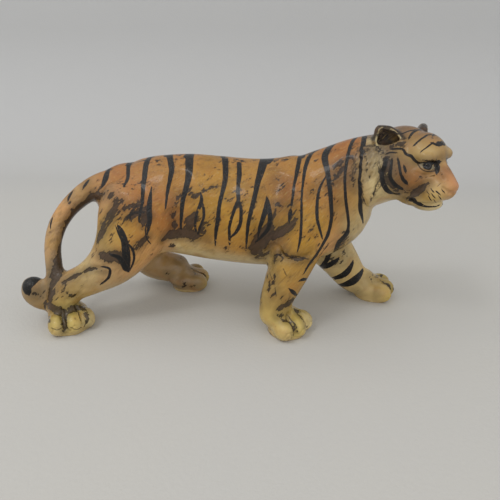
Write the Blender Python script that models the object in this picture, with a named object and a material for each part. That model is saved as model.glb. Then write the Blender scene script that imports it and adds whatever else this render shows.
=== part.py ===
"""A glazed pottery tiger, cast in one piece: it walks with the head turned to its right, and the tail
comes down in a loop to rest against the right hind leg, where its tip curls up."""

import math

import bmesh
import bpy
from mathutils import Euler, Matrix, Vector
from mathutils.bvhtree import BVHTree
from mathutils.kdtree import KDTree

# Driving sizes, in millimetres. X runs towards the head, Y to the tiger's left, Z up from the table.
MM = 0.001
BODY_LENGTH = 100.0  # rump to chest
BODY_WIDTH = 36.0  # across the ribs
BACK_HEIGHT = 68.0  # top of the back above the table
HEAD_LENGTH = 37.0  # back of the skull to the nose
LEG_WIDTH = 14.0  # across a leg at the knee
TAIL_WIDTH = 7.0
RING_SIDES = 28
ROUGH_VOXEL = 1.1
FINE_VOXEL = 0.75
LINE_STEP = 0.4
FACE_SHARE = 0.083

# Places on the body are in hundredths of its length, width and height, measured from between the legs.
# The trunk from the rump to the root of the neck: place along it, back, belly, half width.
TRUNK = [
    (-53.0, 87.5, 69.0, 19.4),
    (-49.0, 91.0, 59.4, 31.9),
    (-43.0, 95.1, 48.5, 41.7),
    (-35.0, 97.1, 42.6, 47.2),
    (-26.0, 98.6, 39.4, 48.9),
    (-16.0, 99.3, 37.1, 47.8),
    (-7.0, 98.5, 35.0, 47.8),
    (2.0, 97.5, 33.8, 49.4),
    (11.0, 97.1, 33.1, 51.1),
    (20.0, 98.0, 33.5, 51.7),
    (29.0, 100.7, 36.8, 50.0),
    (36.0, 103.8, 42.4, 45.8),
    (39.8, 106.6, 50.5, 41.1),
]
BACK_NARROWING = 0.16

# The neck: centre, then half width and half depth in millimetres.
NECK = [
    ((31.6, 0.0, 74.8), 15.5, 17.2),
    ((40.8, -1.4, 82.6), 14.8, 16.0),
    ((48.6, -3.3, 89.8), 13.8, 14.1),
    ((56.0, -6.1, 93.7), 13.2, 13.2),
    ((62.0, -8.3, 96.3), 12.8, 12.6),
]

# Legs: centre, then half width and half thickness in hundredths of the leg's width.
RIGHT_HIND = [
    ((-34.6, -27.8, 73.5), 61.0, 114.0),
    ((-37.6, -34.7, 61.8), 63.0, 109.0),
    ((-41.8, -41.7, 49.0), 61.0, 88.0),
    ((-47.8, -47.8, 38.2), 56.0, 69.0),
    ((-56.0, -53.3, 30.2), 47.0, 51.0),
    ((-63.4, -57.2, 25.1), 41.0, 47.0),
    ((-67.4, -60.0, 18.4), 41.0, 45.0),
    ((-67.6, -62.5, 10.3), 43.0, 46.0),
]
LEFT_HIND = [
    ((-31.6, 27.8, 70.6), 61.0, 105.0),
    ((-34.0, 34.7, 55.9), 59.0, 90.0),
    ((-39.0, 40.3, 41.9), 56.0, 72.0),
    ((-43.8, 44.4, 27.9), 49.0, 60.0),
    ((-41.0, 47.2, 16.9), 46.0, 57.0),
    ((-28.8, 48.0, 12.4), 47.0, 50.0),
]
RIGHT_FORE = [
    ((30.5, -29.2, 75.0), 54.0, 100.0),
    ((27.8, -35.6, 61.8), 56.0, 86.0),
    ((25.2, -41.7, 47.1), 54.0, 70.0),
    ((22.5, -47.2, 33.8), 50.0, 57.0),
    ((19.4, -50.6, 21.3), 46.0, 48.0),
    ((19.0, -52.0, 11.0), 48.0, 48.0),
]
LEFT_FORE = [
    ((29.0, 27.8, 70.6), 54.0, 100.0),
    ((34.2, 34.7, 54.4), 54.0, 84.0),
    ((39.8, 40.3, 38.2), 53.0, 74.0),
    ((46.9, 43.5, 24.2), 50.0, 62.0),
    ((53.2, 44.5, 12.2), 48.0, 51.0),
    ((59.0, 43.5, 9.3), 47.0, 44.0),
]

# Muscle masses that swell the flanks: centre, radii, lean about Y in degrees.
HAUNCH = ((-35.0, 29.4, 61.8), (15.0, 22.8, 22.1), 20.0)
SHOULDER = ((29.0, 28.9, 66.2), (12.5, 24.4, 25.0), -14.0)
RIB_CAGE = ((10.0, 0.0, 64.7), (26.0, 53.3, 29.4), 0.0)

# The tail: centre, then half width and half thickness in hundredths of its width.
TAIL = [
    ((-47.0, 0.0, 81.8), 79.0, 81.0),
    ((-54.0, -1.7, 80.6), 67.0, 66.0),
    ((-60.4, -7.2, 75.2), 60.0, 66.0),
    ((-66.4, -16.7, 67.8), 55.0, 59.0),
    ((-70.5, -27.8, 58.6), 52.0, 55.0),
    ((-72.2, -38.3, 47.8), 50.0, 51.0),
    ((-71.3, -48.3, 36.8), 49.0, 51.0),
    ((-70.6, -56.1, 26.5), 49.0, 51.0),
    ((-72.4, -59.4, 16.6), 50.0, 46.0),
    ((-76.2, -60.6, 14.0), 52.0, 46.0),
    ((-79.5, -60.6, 19.8), 67.0, 66.0),
    ((-79.1, -60.6, 25.8), 66.0, 67.0),
]

# Paws: where the middle of the sole stands, and the way the toes point in degrees from +X.
PAWS = {
    "right_hind": ((-65.2, -65.0), -56.0),
    "left_hind": ((-23.8, 46.7), 14.0),
    "right_fore": ((23.6, -50.9), -44.0),
    "left_fore": ((62.4, 42.5), -8.0),
}
PAW_LENGTH = 18.2
PAW_WIDTH = 18.2
PAW_HEIGHT = 10.5
SOLE_HEIGHT = 1.6
TOES = [(-0.28, -0.02, -16.0), (0.02, 0.05, 0.0), (0.3, -0.05, 16.0)]
TOE_GAPS = (-0.13, 0.17)
TOE_GAP_REACH = 1.3
TOE_GAP_DEPTH = 0.6

# The head, in hundredths of its length: x to the nose, y to the left ear, z to the crown.
HEAD_PLACE = (67.0, -8.9, 95.3)
HEAD_TURN = -48.0
HEAD_NOD = -2.0
HEAD_TILT = -2.0
HEAD_MASSES = [
    ("skull", (-5.4, 0.0, 6.8), (36.5, 32.4, 29.7)),
    ("crown", (-6.8, 0.0, 16.8), (29.7, 28.1, 23.8)),
    ("forehead", (14.0, 0.0, 14.8), (25.0, 23.0, 22.0)),
    ("muzzle_root", (24.3, 0.0, -8.6), (23.0, 18.4, 17.8)),
    ("muzzle", (36.2, 0.0, -13.0), (19.5, 16.2, 14.1)),
    ("nose", (49.5, 0.0, -10.3), (7.8, 8.9, 6.5)),
    ("chin", (26.2, 0.0, -29.2), (16.8, 14.6, 8.6)),
    ("throat", (5.4, 0.0, -18.9), (24.3, 22.7, 14.6)),
]
PAIRED_MASSES = [
    ("cheek", (-4.1, 21.6, -7.0), (23.2, 13.5, 24.9)),
    ("brow", (27.0, 13.2, 16.9), (11.0, 10.5, 7.4)),
    ("whisker_pad", (35.7, 9.5, -17.8), (14.3, 9.5, 10.5)),
    ("cheekbone", (15.1, 18.4, -5.9), (16.8, 8.1, 14.6)),
    ("jaw", (17.3, 13.0, -24.9), (18.9, 9.2, 9.2)),
    ("eyeball", (28.2, 14.3, 5.6), (6.5, 5.7, 5.1)),
]
NOSE_BRIDGE = [
    ((20.3, 0.0, 15.1), 10.8, 7.8),
    ((32.4, 0.0, 7.3), 8.9, 7.8),
    ((41.6, 0.0, -1.1), 8.4, 7.6),
    ((48.4, 0.0, -7.8), 8.6, 6.5),
]
EAR_PLACES = {-1: (-10.0, 22.8, 23.4), 1: (-8.6, 31.0, 22.6)}
EAR_THICKNESS = 6.4
EAR_WIDTH = 12.0
EAR_HEIGHT = 14.6
EAR_WALL = 1.3
EAR_SPLAY = 24.0
EAR_FACING = 38.0
# The lobes that make an ear's leaf shape, in hundredths of its size: place outwards and up, share of its size.
EAR_LOBES = [(0.0, 0.0, 100.0), (-30.0, -8.0, 62.0), (12.0, 25.0, 58.0)]

# Tooled lines, pressed into the clay or, where the depth is negative, raised from it:
# the points they run through, their reach to either side, their depth.
MOUTH = [(21.6, 22.7, -27.6), (33.5, 17.8, -31.1), (40.5, 13.0, -31.1), (44.9, 7.0, -29.5), (47.0, 0.0, -27.8)]
UPPER_LID = [(38.8, 9.7, 9.2), (34.5, 16.8, 10.3), (26.3, 21.1, 9.0)]
LOWER_LID = [(38.2, 10.8, 1.4), (32.3, 17.8, -0.8), (24.7, 21.1, 1.0)]
NOSTRIL = [(55.7, 4.3, -15.9), (52.4, 8.1, -13.5), (48.1, 10.0, -10.8)]
TEAR_LINE = [(36.8, 9.2, 6.5), (45.9, 10.0, -2.7)]
CHEEK_EDGE = [(-10.8, 33.8, 13.5), (-2.7, 35.1, -5.4), (5.4, 32.4, -21.6), (13.5, 24.3, -32.4)]
PHILTRUM = [(56.2, 0.0, -17.8), (48.6, 0.0, -27.0)]
FACE_LINES = [
    (MOUTH, 1.3, 0.75),
    (UPPER_LID, 1.1, 0.7),
    (LOWER_LID, 1.0, 0.5),
    (NOSTRIL, 1.0, 0.6),
    (TEAR_LINE, 1.2, 0.4),
    (CHEEK_EDGE, 2.4, 0.7),
    (PHILTRUM, 1.0, 0.5),
]
TUFT_COLUMNS = (-13.0, -21.0)
TUFT_ROWS = (19.0, 8.0, -3.0)
TUFT_LENGTH = 4.6
TUFT_OUT = 40.0
TUFT_DROP = 3.0
TUFT_REACH = 1.2
TUFT_HEIGHT = 0.5
BEHIND_SHOULDER = [(18.0, 41.7, 91.2), (15.0, 51.4, 73.5), (13.5, 51.4, 55.9), (15.0, 47.2, 44.1)]
BEFORE_HAUNCH = [(-19.0, 38.9, 89.7), (-18.5, 48.6, 73.5), (-22.0, 48.6, 55.9)]
BEFORE_SHOULDER = [(44.0, 33.3, 97.1), (42.0, 43.1, 82.4), (42.0, 41.7, 64.7)]
FLANK_LINES = [
    (BEHIND_SHOULDER, 6.0, 1.3),
    (BEFORE_HAUNCH, 6.5, 1.3),
    (BEFORE_SHOULDER, 5.0, 0.9),
]


def on_body(place, sign=1):
    return Vector((place[0] * BODY_LENGTH, place[1] * sign * BODY_WIDTH, place[2] * BACK_HEIGHT)) / 100


def in_head(place, sign=1):
    return Vector((place[0], place[1] * sign, place[2])) * HEAD_LENGTH / 100


def ring(bm, centre, side, up, half_side, half_up, narrowing=0.0):
    verts = []
    for step in range(RING_SIDES):
        angle = 2 * math.pi * step / RING_SIDES
        across = half_side * math.cos(angle) * (1 - narrowing * math.sin(angle))
        verts.append(bm.verts.new(centre + side * across + up * half_up * math.sin(angle)))
    return verts


def spline(values, place):
    """A Catmull-Rom value at a place from 0 to the number of spans."""
    span = min(int(place), len(values) - 2)
    t = place - span
    before, start = values[max(span - 1, 0)], values[span]
    end, after = values[span + 1], values[min(span + 2, len(values) - 1)]
    return [
        0.5 * (2 * b + (c - a) * t + (2 * a - 5 * b + 4 * c - d) * t * t + (3 * b - a - 3 * c + d) * t**3)
        for a, b, c, d in zip(before, start, end, after)
    ]


def loft(bm, stations, steps=4, narrowing=0.0, side_hint=(0, 1, 0)):
    """A closed tube through stations of (centre, half width, half thickness), with domed ends."""
    rows = [(*centre, wide, thick) for centre, wide, thick in stations]
    spans = (len(rows) - 1) * steps
    samples = [spline(rows, step / steps) for step in range(spans + 1)]
    centres = [Vector(sample[:3]) for sample in samples]
    frames = []
    for index in range(spans + 1):
        along = centres[min(index + 1, spans)] - centres[max(index - 1, 0)]
        along.normalize()
        side = Vector(side_hint)
        side = (side - along * side.dot(along)).normalized()
        frames.append((along, side, along.cross(side)))

    def cap(end, sign):
        """The rings of a dome, from its pole to the tube."""
        along, side, up = frames[end]
        wide, thick = samples[end][3:]
        depth = 0.8 * min(wide, thick)
        pole = bm.verts.new(centres[end] + along * depth * sign)
        rings = []
        for degrees in (68, 45, 22):
            lean = math.radians(degrees)
            centre = centres[end] + along * depth * sign * math.sin(lean)
            scale = math.cos(lean)
            rings.append(ring(bm, centre, side, up, wide * scale, thick * scale, narrowing))
        return pole, rings

    first_pole, first_rings = cap(0, -1)
    last_pole, last_rings = cap(spans, 1)
    middle = [
        ring(bm, centre, side, up, *sample[3:], narrowing)
        for centre, sample, (_, side, up) in zip(centres, samples, frames)
    ]
    rings = first_rings + middle + last_rings[::-1]
    for one, other in zip(rings, rings[1:]):
        for step in range(RING_SIDES):
            after = (step + 1) % RING_SIDES
            bm.faces.new((one[step], one[after], other[after], other[step]))
    for step in range(RING_SIDES):
        after = (step + 1) % RING_SIDES
        bm.faces.new((first_pole, rings[0][after], rings[0][step]))
        bm.faces.new((last_pole, rings[-1][step], rings[-1][after]))


def ellipsoid(bm, centre, radii, turn=None):
    turn = turn or Matrix.Identity(4)
    place = Matrix.Translation(centre) @ turn @ Matrix.Diagonal((*radii, 1))
    bmesh.ops.create_icosphere(bm, subdivisions=4, radius=1, matrix=place)


def object_from(name, bm):
    bmesh.ops.recalc_face_normals(bm, faces=bm.faces)
    mesh = bpy.data.meshes.new(name)
    bm.to_mesh(mesh)
    bm.free()
    made = bpy.data.objects.new(name, mesh)
    bpy.context.scene.collection.objects.link(made)
    return made


def baked(made):
    """The object with its modifiers applied to its mesh."""
    graph = bpy.context.evaluated_depsgraph_get()
    mesh = bpy.data.meshes.new_from_object(made.evaluated_get(graph))
    made.modifiers.clear()
    made.data = mesh
    return made


def melt(made, voxel):
    remesh = made.modifiers.new("melt", "REMESH")
    remesh.mode = "VOXEL"
    remesh.voxel_size = voxel


def soften(made, repeats):
    smooth = made.modifiers.new("soften", "SMOOTH")
    smooth.factor = 0.5
    smooth.iterations = repeats


def boolean(made, cutter):
    cut = made.modifiers.new(cutter.name, "BOOLEAN")
    cut.operation = "DIFFERENCE"
    cut.object = cutter
    cutter.hide_render = True
    cutter.display_type = "WIRE"


def body_masses():
    """Trunk, neck, legs, muscles and tail, before they are melted together."""
    bm = bmesh.new()
    trunk = []
    for along, back, belly, half_width in TRUNK:
        centre = on_body((along, 0.0, (back + belly) / 2))
        trunk.append((centre, half_width * BODY_WIDTH / 100, (back - belly) / 2 * BACK_HEIGHT / 100))
    loft(bm, trunk, narrowing=BACK_NARROWING)
    neck_share = BODY_WIDTH / 36.0
    loft(bm, [(on_body(place), wide * neck_share, deep) for place, wide, deep in NECK], narrowing=0.1)
    for leg in (RIGHT_HIND, LEFT_HIND, RIGHT_FORE, LEFT_FORE):
        girth = LEG_WIDTH / 100
        loft(bm, [(on_body(place), wide * girth, thick * girth) for place, wide, thick in leg])
    girth = TAIL_WIDTH / 100
    loft(bm, [(on_body(place), wide * girth, thick * girth) for place, wide, thick in TAIL], steps=6)
    for sign in (-1, 1):
        for place, radii, lean in (HAUNCH, SHOULDER):
            turn = Matrix.Rotation(math.radians(lean), 4, "Y")
            ellipsoid(bm, on_body(place, sign), on_body(radii), turn)
    ellipsoid(bm, on_body(RIB_CAGE[0]), on_body(RIB_CAGE[1]))
    return object_from("masses", bm)


def paw_frame(place, heading):
    foot = on_body((*place, 0.0))
    return Matrix.Translation(foot) @ Matrix.Rotation(math.radians(heading), 4, "Z")


def paw(bm, place, heading):
    """A palm, toes that fan out, and the flat pad they stand on."""
    frame = paw_frame(place, heading)
    turn = Matrix.Rotation(math.radians(heading), 4, "Z")
    palm = frame @ Vector((-0.1 * PAW_LENGTH, 0, 0.46 * PAW_HEIGHT))
    ellipsoid(bm, palm, (0.42 * PAW_LENGTH, 0.44 * PAW_WIDTH, 0.5 * PAW_HEIGHT), turn)
    for across, ahead, fan in TOES:
        toe = frame @ Vector(((0.2 + ahead) * PAW_LENGTH, across * PAW_WIDTH, 0.38 * PAW_HEIGHT))
        toe_turn = Matrix.Rotation(math.radians(heading + fan), 4, "Z")
        ellipsoid(bm, toe, (0.29 * PAW_LENGTH, 0.215 * PAW_WIDTH, 0.43 * PAW_HEIGHT), toe_turn)
    bmesh.ops.create_cone(
        bm,
        cap_ends=True,
        segments=RING_SIDES,
        radius1=0.5,
        radius2=0.5,
        depth=3 * SOLE_HEIGHT,
        matrix=frame @ Matrix.Diagonal((0.84 * PAW_LENGTH, 0.8 * PAW_WIDTH, 1, 1)),
    )


def head_frame():
    angles = (math.radians(HEAD_TILT), math.radians(HEAD_NOD), math.radians(HEAD_TURN))
    return Matrix.Translation(on_body(HEAD_PLACE)) @ Euler(angles, "XYZ").to_matrix().to_4x4()


def ear_turn(sign):
    """The ear stands splayed outwards, and its mouth faces forwards and out."""
    splay = Matrix.Rotation(math.radians(-EAR_SPLAY * sign), 4, "X")
    return Matrix.Rotation(math.radians(EAR_FACING * sign), 4, "Z") @ splay


def ear_lobes(bm, sign, wall):
    """The lobes of an ear, or of the cup inside its wall."""
    frame = head_frame()
    turn = frame.to_3x3().to_4x4() @ ear_turn(sign)
    middle = frame @ in_head(EAR_PLACES[sign], sign)
    for out, up, share in EAR_LOBES:
        place = Vector((1.6 * wall, out * sign * EAR_WIDTH / 100, up * EAR_HEIGHT / 100))
        thick = EAR_THICKNESS * (0.5 + share / 200)
        sizes = (thick, EAR_WIDTH * share / 100, EAR_HEIGHT * share / 100)
        ellipsoid(bm, middle + turn.to_3x3() @ place, [size / 2 - wall for size in sizes], turn)


def head_and_paws(skin):
    """The melted body with the head and the paws laid over it."""
    bm = bmesh.new()
    bm.from_mesh(skin)
    for place, heading in PAWS.values():
        paw(bm, place, heading)
    frame = head_frame()
    head_turn = frame.to_3x3().to_4x4()
    for _, place, radii in HEAD_MASSES:
        ellipsoid(bm, frame @ in_head(place), in_head(radii), head_turn)
    for sign in (-1, 1):
        for _, place, radii in PAIRED_MASSES:
            ellipsoid(bm, frame @ in_head(place, sign), in_head(radii), head_turn)
        ear_lobes(bm, sign, 0.0)
    unit = HEAD_LENGTH / 100
    bridge = [(frame @ in_head(place), wide * unit, thick * unit) for place, wide, thick in NOSE_BRIDGE]
    loft(bm, bridge, side_hint=head_turn @ Vector((0, 1, 0)))
    return object_from("forms", bm)


def ear_hollows():
    """The cups that are pressed into the ears."""
    bm = bmesh.new()
    for sign in (-1, 1):
        ear_lobes(bm, sign, EAR_WALL)
    return object_from("ear_hollows", bm)


def ground_block():
    """What lies below the table top, to cut the soles flat."""
    bm = bmesh.new()
    size = Matrix.Diagonal((3 * BODY_LENGTH, 4 * BODY_WIDTH, BACK_HEIGHT, 1))
    bmesh.ops.create_cube(bm, size=1, matrix=Matrix.Translation((0, 0, -BACK_HEIGHT / 2)) @ size)
    return object_from("ground", bm)


def on_skin(points, tree):
    """The line through the points, laid on the skin."""
    laid = []
    for start, end in zip(points, points[1:]):
        count = max(int((end - start).length / LINE_STEP), 1)
        laid += [tree.find_nearest(start.lerp(end, step / count))[0] for step in range(count)]
    laid.append(tree.find_nearest(points[-1])[0])
    return laid


def ruff_tufts(frame, sign):
    """Short raised locks of the ruff, which hang back and down behind the cheek."""
    tufts = []
    for column, back in enumerate(TUFT_COLUMNS):
        for height in TUFT_ROWS:
            root = in_head((back, TUFT_OUT, height - TUFT_DROP * column), sign)
            bend = root + Vector((-0.35, 0, -0.4)) * TUFT_LENGTH
            tip = root + Vector((-0.45, 0, -0.9)) * TUFT_LENGTH
            tufts.append(([frame @ point for point in (root, bend, tip)], TUFT_REACH, -TUFT_HEIGHT))
    return tufts


def tooled_lines():
    """Every tooled line as points in the body's frame, its reach and its depth."""
    frame = head_frame()
    lines = []
    for sign in (-1, 1):
        for points, reach, depth in FACE_LINES:
            lines.append(([frame @ in_head(point, sign) for point in points], reach, depth))
        for points, reach, depth in FLANK_LINES:
            lines.append(([on_body(point, sign) for point in points], reach, depth))
        lines += ruff_tufts(frame, sign)
    for place, heading in PAWS.values():
        turn = paw_frame(place, heading)
        for gap in TOE_GAPS:
            path = [(0.16, 0.95), (0.32, 0.84), (0.46, 0.5), (0.53, 0.2)]
            spread = [1 + 0.8 * x for x, _ in path]
            points = [
                turn @ Vector((x * PAW_LENGTH, gap * wide * PAW_WIDTH, z * PAW_HEIGHT))
                for (x, z), wide in zip(path, spread)
            ]
            lines.append((points, TOE_GAP_REACH, TOE_GAP_DEPTH))
    return lines


def tool(mesh):
    """Presses the tooled lines into a mesh along its normals."""
    tree = BVHTree.FromPolygons([vertex.co for vertex in mesh.vertices], [face.vertices for face in mesh.polygons])
    finder = KDTree(len(mesh.vertices))
    for index, vertex in enumerate(mesh.vertices):
        finder.insert(vertex.co, index)
    finder.balance()
    push = {}
    for points, reach, depth in tooled_lines():
        nearest = {}
        for point in on_skin(points, tree):
            for _, index, distance in finder.find_range(point, reach):
                nearest[index] = min(nearest.get(index, reach), distance)
        for index, distance in nearest.items():
            push[index] = push.get(index, 0) + depth * (1 - (distance / reach) ** 2) ** 2
    moves = [(index, mesh.vertices[index].normal * -depth) for index, depth in push.items()]
    for index, move in moves:
        mesh.vertices[index].co += move


def glaze():
    material = bpy.data.materials.new("tiger_glaze")
    material.use_nodes = True
    shader = material.node_tree.nodes["Principled BSDF"]
    shader.inputs["Base Color"].default_value = (0.55, 0.3, 0.09, 1)
    shader.inputs["Roughness"].default_value = 0.18
    shader.inputs["Metallic"].default_value = 0.0
    return material


def build():
    for obj in list(bpy.data.objects):
        bpy.data.objects.remove(obj)
    masses = body_masses()
    melt(masses, ROUGH_VOXEL)
    soften(masses, 10)
    tiger = head_and_paws(baked(masses).data)
    hollows = ear_hollows()
    melt(hollows, FINE_VOXEL / 2)
    ground = ground_block()
    melt(tiger, FINE_VOXEL)
    boolean(tiger, hollows)
    melt(tiger, FINE_VOXEL)
    soften(tiger, 3)
    baked(tiger)
    tool(tiger.data)
    thin = tiger.modifiers.new("thin_out", "DECIMATE")
    thin.ratio = FACE_SHARE
    boolean(tiger, ground)
    baked(tiger)
    for helper in (masses, hollows, ground):
        bpy.data.objects.remove(helper)
    mesh = tiger.data
    corners = [vertex.co for vertex in mesh.vertices]
    low = [min(corner[axis] for corner in corners) for axis in range(3)]
    high = [max(corner[axis] for corner in corners) for axis in range(3)]
    middle = Vector(((low[0] + high[0]) / 2, (low[1] + high[1]) / 2, 0))
    mesh.transform(Matrix.Scale(MM, 4) @ Matrix.Translation(-middle))
    mesh.materials.clear()
    mesh.materials.append(glaze())
    mesh.shade_smooth()
    mesh.set_sharp_from_angle(angle=math.radians(50))
    tiger.name = "tiger"
    print("triangles", sum(len(face.vertices) - 2 for face in mesh.polygons), "middle", middle)


build()
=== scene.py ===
import math
import random

import bmesh
import bpy
import numpy as np
from mathutils import Euler, Matrix, Vector
from mathutils.bvhtree import BVHTree


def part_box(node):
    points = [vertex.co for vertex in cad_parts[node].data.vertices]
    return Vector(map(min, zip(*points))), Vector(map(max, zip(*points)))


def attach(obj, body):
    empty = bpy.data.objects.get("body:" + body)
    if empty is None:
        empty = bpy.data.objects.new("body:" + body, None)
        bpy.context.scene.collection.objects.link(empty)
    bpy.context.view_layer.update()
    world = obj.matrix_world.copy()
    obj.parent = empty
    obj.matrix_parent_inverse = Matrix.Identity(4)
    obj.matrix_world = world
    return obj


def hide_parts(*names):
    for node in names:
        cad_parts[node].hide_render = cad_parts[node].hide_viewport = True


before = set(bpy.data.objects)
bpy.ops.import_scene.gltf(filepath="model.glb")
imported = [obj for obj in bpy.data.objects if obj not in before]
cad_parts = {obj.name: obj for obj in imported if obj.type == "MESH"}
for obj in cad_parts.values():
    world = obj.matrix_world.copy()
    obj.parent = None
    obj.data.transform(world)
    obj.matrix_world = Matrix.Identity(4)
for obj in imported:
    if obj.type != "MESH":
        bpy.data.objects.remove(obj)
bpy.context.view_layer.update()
print("frame loaded")

# Everything is in millimetres until the finished mesh is scaled.
# X runs towards the head, Y to the tiger's left, Z up from the table.
# Places on the body are in hundredths of its length, width and height.
tiger = {
    "bodyLength": 100.0,
    "bodyWidth": 36.0,
    "backHeight": 68.0,
    "legWidth": 14.0,
    "tailWidth": 7.0,
    "ringSides": 28,
    "domeAngles": (68, 45, 22),
    "domeDepth": 0.8,
    "roughVoxel": 1.1,
    "firstVoxel": 0.75,
    "fineVoxel": 0.45,
    "triangles": 194000,
    # place along the trunk, back, belly, half width
    "trunk": [
        (-53.0, 87.5, 69.0, 19.4),
        (-49.0, 91.0, 59.4, 31.9),
        (-43.0, 95.1, 48.5, 41.7),
        (-35.0, 97.1, 42.6, 47.2),
        (-26.0, 98.6, 39.4, 48.9),
        (-16.0, 99.3, 37.1, 47.8),
        (-7.0, 98.5, 35.0, 47.8),
        (2.0, 97.5, 33.8, 49.4),
        (11.0, 97.1, 33.1, 51.1),
        (20.0, 98.0, 33.5, 51.7),
        (29.0, 100.7, 36.8, 50.0),
        (36.0, 103.8, 42.4, 45.8),
        (39.8, 106.6, 50.5, 41.1),
    ],
    "backNarrowing": 0.16,
    # centre, then half width and half depth in millimetres
    "neck": [
        ((31.6, 0.0, 74.8), 15.5, 17.2),
        ((40.8, -1.4, 82.6), 14.8, 16.0),
        ((48.6, -3.3, 89.8), 13.8, 14.1),
        ((56.0, -6.1, 93.7), 13.2, 13.2),
        ((62.0, -8.3, 96.3), 12.8, 12.6),
    ],
    # legs and tail: centre, then half width and half thickness in hundredths of their width
    "legs": {
        "rightHind": [
            ((-34.6, -27.8, 73.5), 61.0, 114.0),
            ((-37.6, -34.7, 61.8), 63.0, 109.0),
            ((-41.8, -41.7, 49.0), 61.0, 88.0),
            ((-47.8, -47.8, 38.2), 56.0, 69.0),
            ((-56.0, -53.3, 30.2), 47.0, 51.0),
            ((-63.4, -57.2, 25.1), 41.0, 47.0),
            ((-67.4, -60.0, 18.4), 41.0, 45.0),
            ((-67.6, -62.5, 10.3), 43.0, 46.0),
        ],
        "leftHind": [
            ((-31.6, 27.8, 70.6), 61.0, 105.0),
            ((-34.0, 34.7, 55.9), 59.0, 90.0),
            ((-39.0, 40.3, 41.9), 56.0, 72.0),
            ((-43.8, 44.4, 27.9), 49.0, 60.0),
            ((-41.0, 47.2, 16.9), 46.0, 57.0),
            ((-28.8, 48.0, 12.4), 47.0, 50.0),
        ],
        "rightFore": [
            ((30.5, -29.2, 75.0), 54.0, 100.0),
            ((27.8, -35.6, 61.8), 56.0, 86.0),
            ((25.2, -41.7, 47.1), 54.0, 70.0),
            ((22.5, -47.2, 33.8), 50.0, 57.0),
            ((19.4, -50.6, 21.3), 46.0, 48.0),
            ((19.0, -52.0, 11.0), 48.0, 48.0),
        ],
        "leftFore": [
            ((29.0, 27.8, 70.6), 54.0, 100.0),
            ((34.2, 34.7, 54.4), 54.0, 84.0),
            ((39.8, 40.3, 38.2), 53.0, 74.0),
            ((46.9, 43.5, 24.2), 50.0, 62.0),
            ((53.2, 44.5, 12.2), 48.0, 51.0),
            ((59.0, 43.5, 9.3), 47.0, 44.0),
        ],
    },
    "tail": [
        ((-47.0, 0.0, 81.8), 79.0, 81.0),
        ((-54.0, -1.7, 80.6), 67.0, 66.0),
        ((-60.4, -7.2, 75.2), 60.0, 66.0),
        ((-66.4, -16.7, 67.8), 55.0, 59.0),
        ((-70.5, -27.8, 58.6), 52.0, 55.0),
        ((-72.2, -38.3, 47.8), 50.0, 51.0),
        ((-71.3, -48.3, 36.8), 49.0, 51.0),
        ((-70.6, -56.1, 26.5), 49.0, 51.0),
        ((-72.4, -59.4, 16.6), 50.0, 46.0),
        ((-76.2, -60.6, 14.0), 52.0, 46.0),
        ((-79.5, -60.6, 19.8), 67.0, 66.0),
        ((-79.1, -60.6, 25.8), 66.0, 67.0),
    ],
    # centre, radii, lean about Y in degrees
    "haunch": ((-35.0, 29.4, 61.8), (15.0, 22.8, 22.1), 20.0),
    "shoulder": ((29.0, 28.9, 66.2), (12.5, 24.4, 25.0), -14.0),
    "ribCage": ((10.0, 0.0, 64.7), (26.0, 53.3, 29.4), 0.0),
    "tailRoot": ((-46.0, 0.0, 83.0), (11.0, 17.0, 9.0), -24.0),
    # where the middle of each sole stands, and the way its toes point
    "paws": {
        "rightHind": ((-65.2, -65.0), -56.0),
        "leftHind": ((-23.8, 46.7), 14.0),
        "rightFore": ((23.6, -50.9), -44.0),
        "leftFore": ((62.4, 42.5), -8.0),
    },
    "pawLength": 18.2,
    "pawWidth": 18.2,
    "pawHeight": 10.5,
    "soleHeight": 1.6,
    # in shares of the paw's length, width and height: the pad's place and radii, the toes, the sole
    "pad": ((-0.1, 0.0, 0.46), (0.42, 0.44, 0.5)),
    "toePlace": (0.2, 0.38),
    "toeRadii": (0.29, 0.215, 0.43),
    "sole": (0.84, 0.8, 0.0),
    # across, ahead, fan in degrees
    "toes": [(-0.28, -0.02, -16.0), (0.02, 0.05, 0.0), (0.3, -0.05, 16.0)],
    "toeGaps": (-0.13, 0.17),
    "toeGapSpread": 0.8,
    "toeGapPath": [(0.16, 0.95), (0.32, 0.84), (0.46, 0.5), (0.53, 0.2)],
    # tooled folds of the coat: points, reach to either side, depth
    "folds": [
        ([(18.0, 41.7, 91.2), (15.0, 51.4, 73.5), (13.5, 51.4, 55.9), (15.0, 47.2, 44.1)], 6.0, 1.3),
        ([(-19.0, 38.9, 89.7), (-18.5, 48.6, 73.5), (-22.0, 48.6, 55.9)], 6.5, 1.3),
        ([(44.0, 33.3, 97.1), (42.0, 43.1, 82.4), (42.0, 41.7, 64.7)], 5.0, 0.9),
    ],
}

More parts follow.
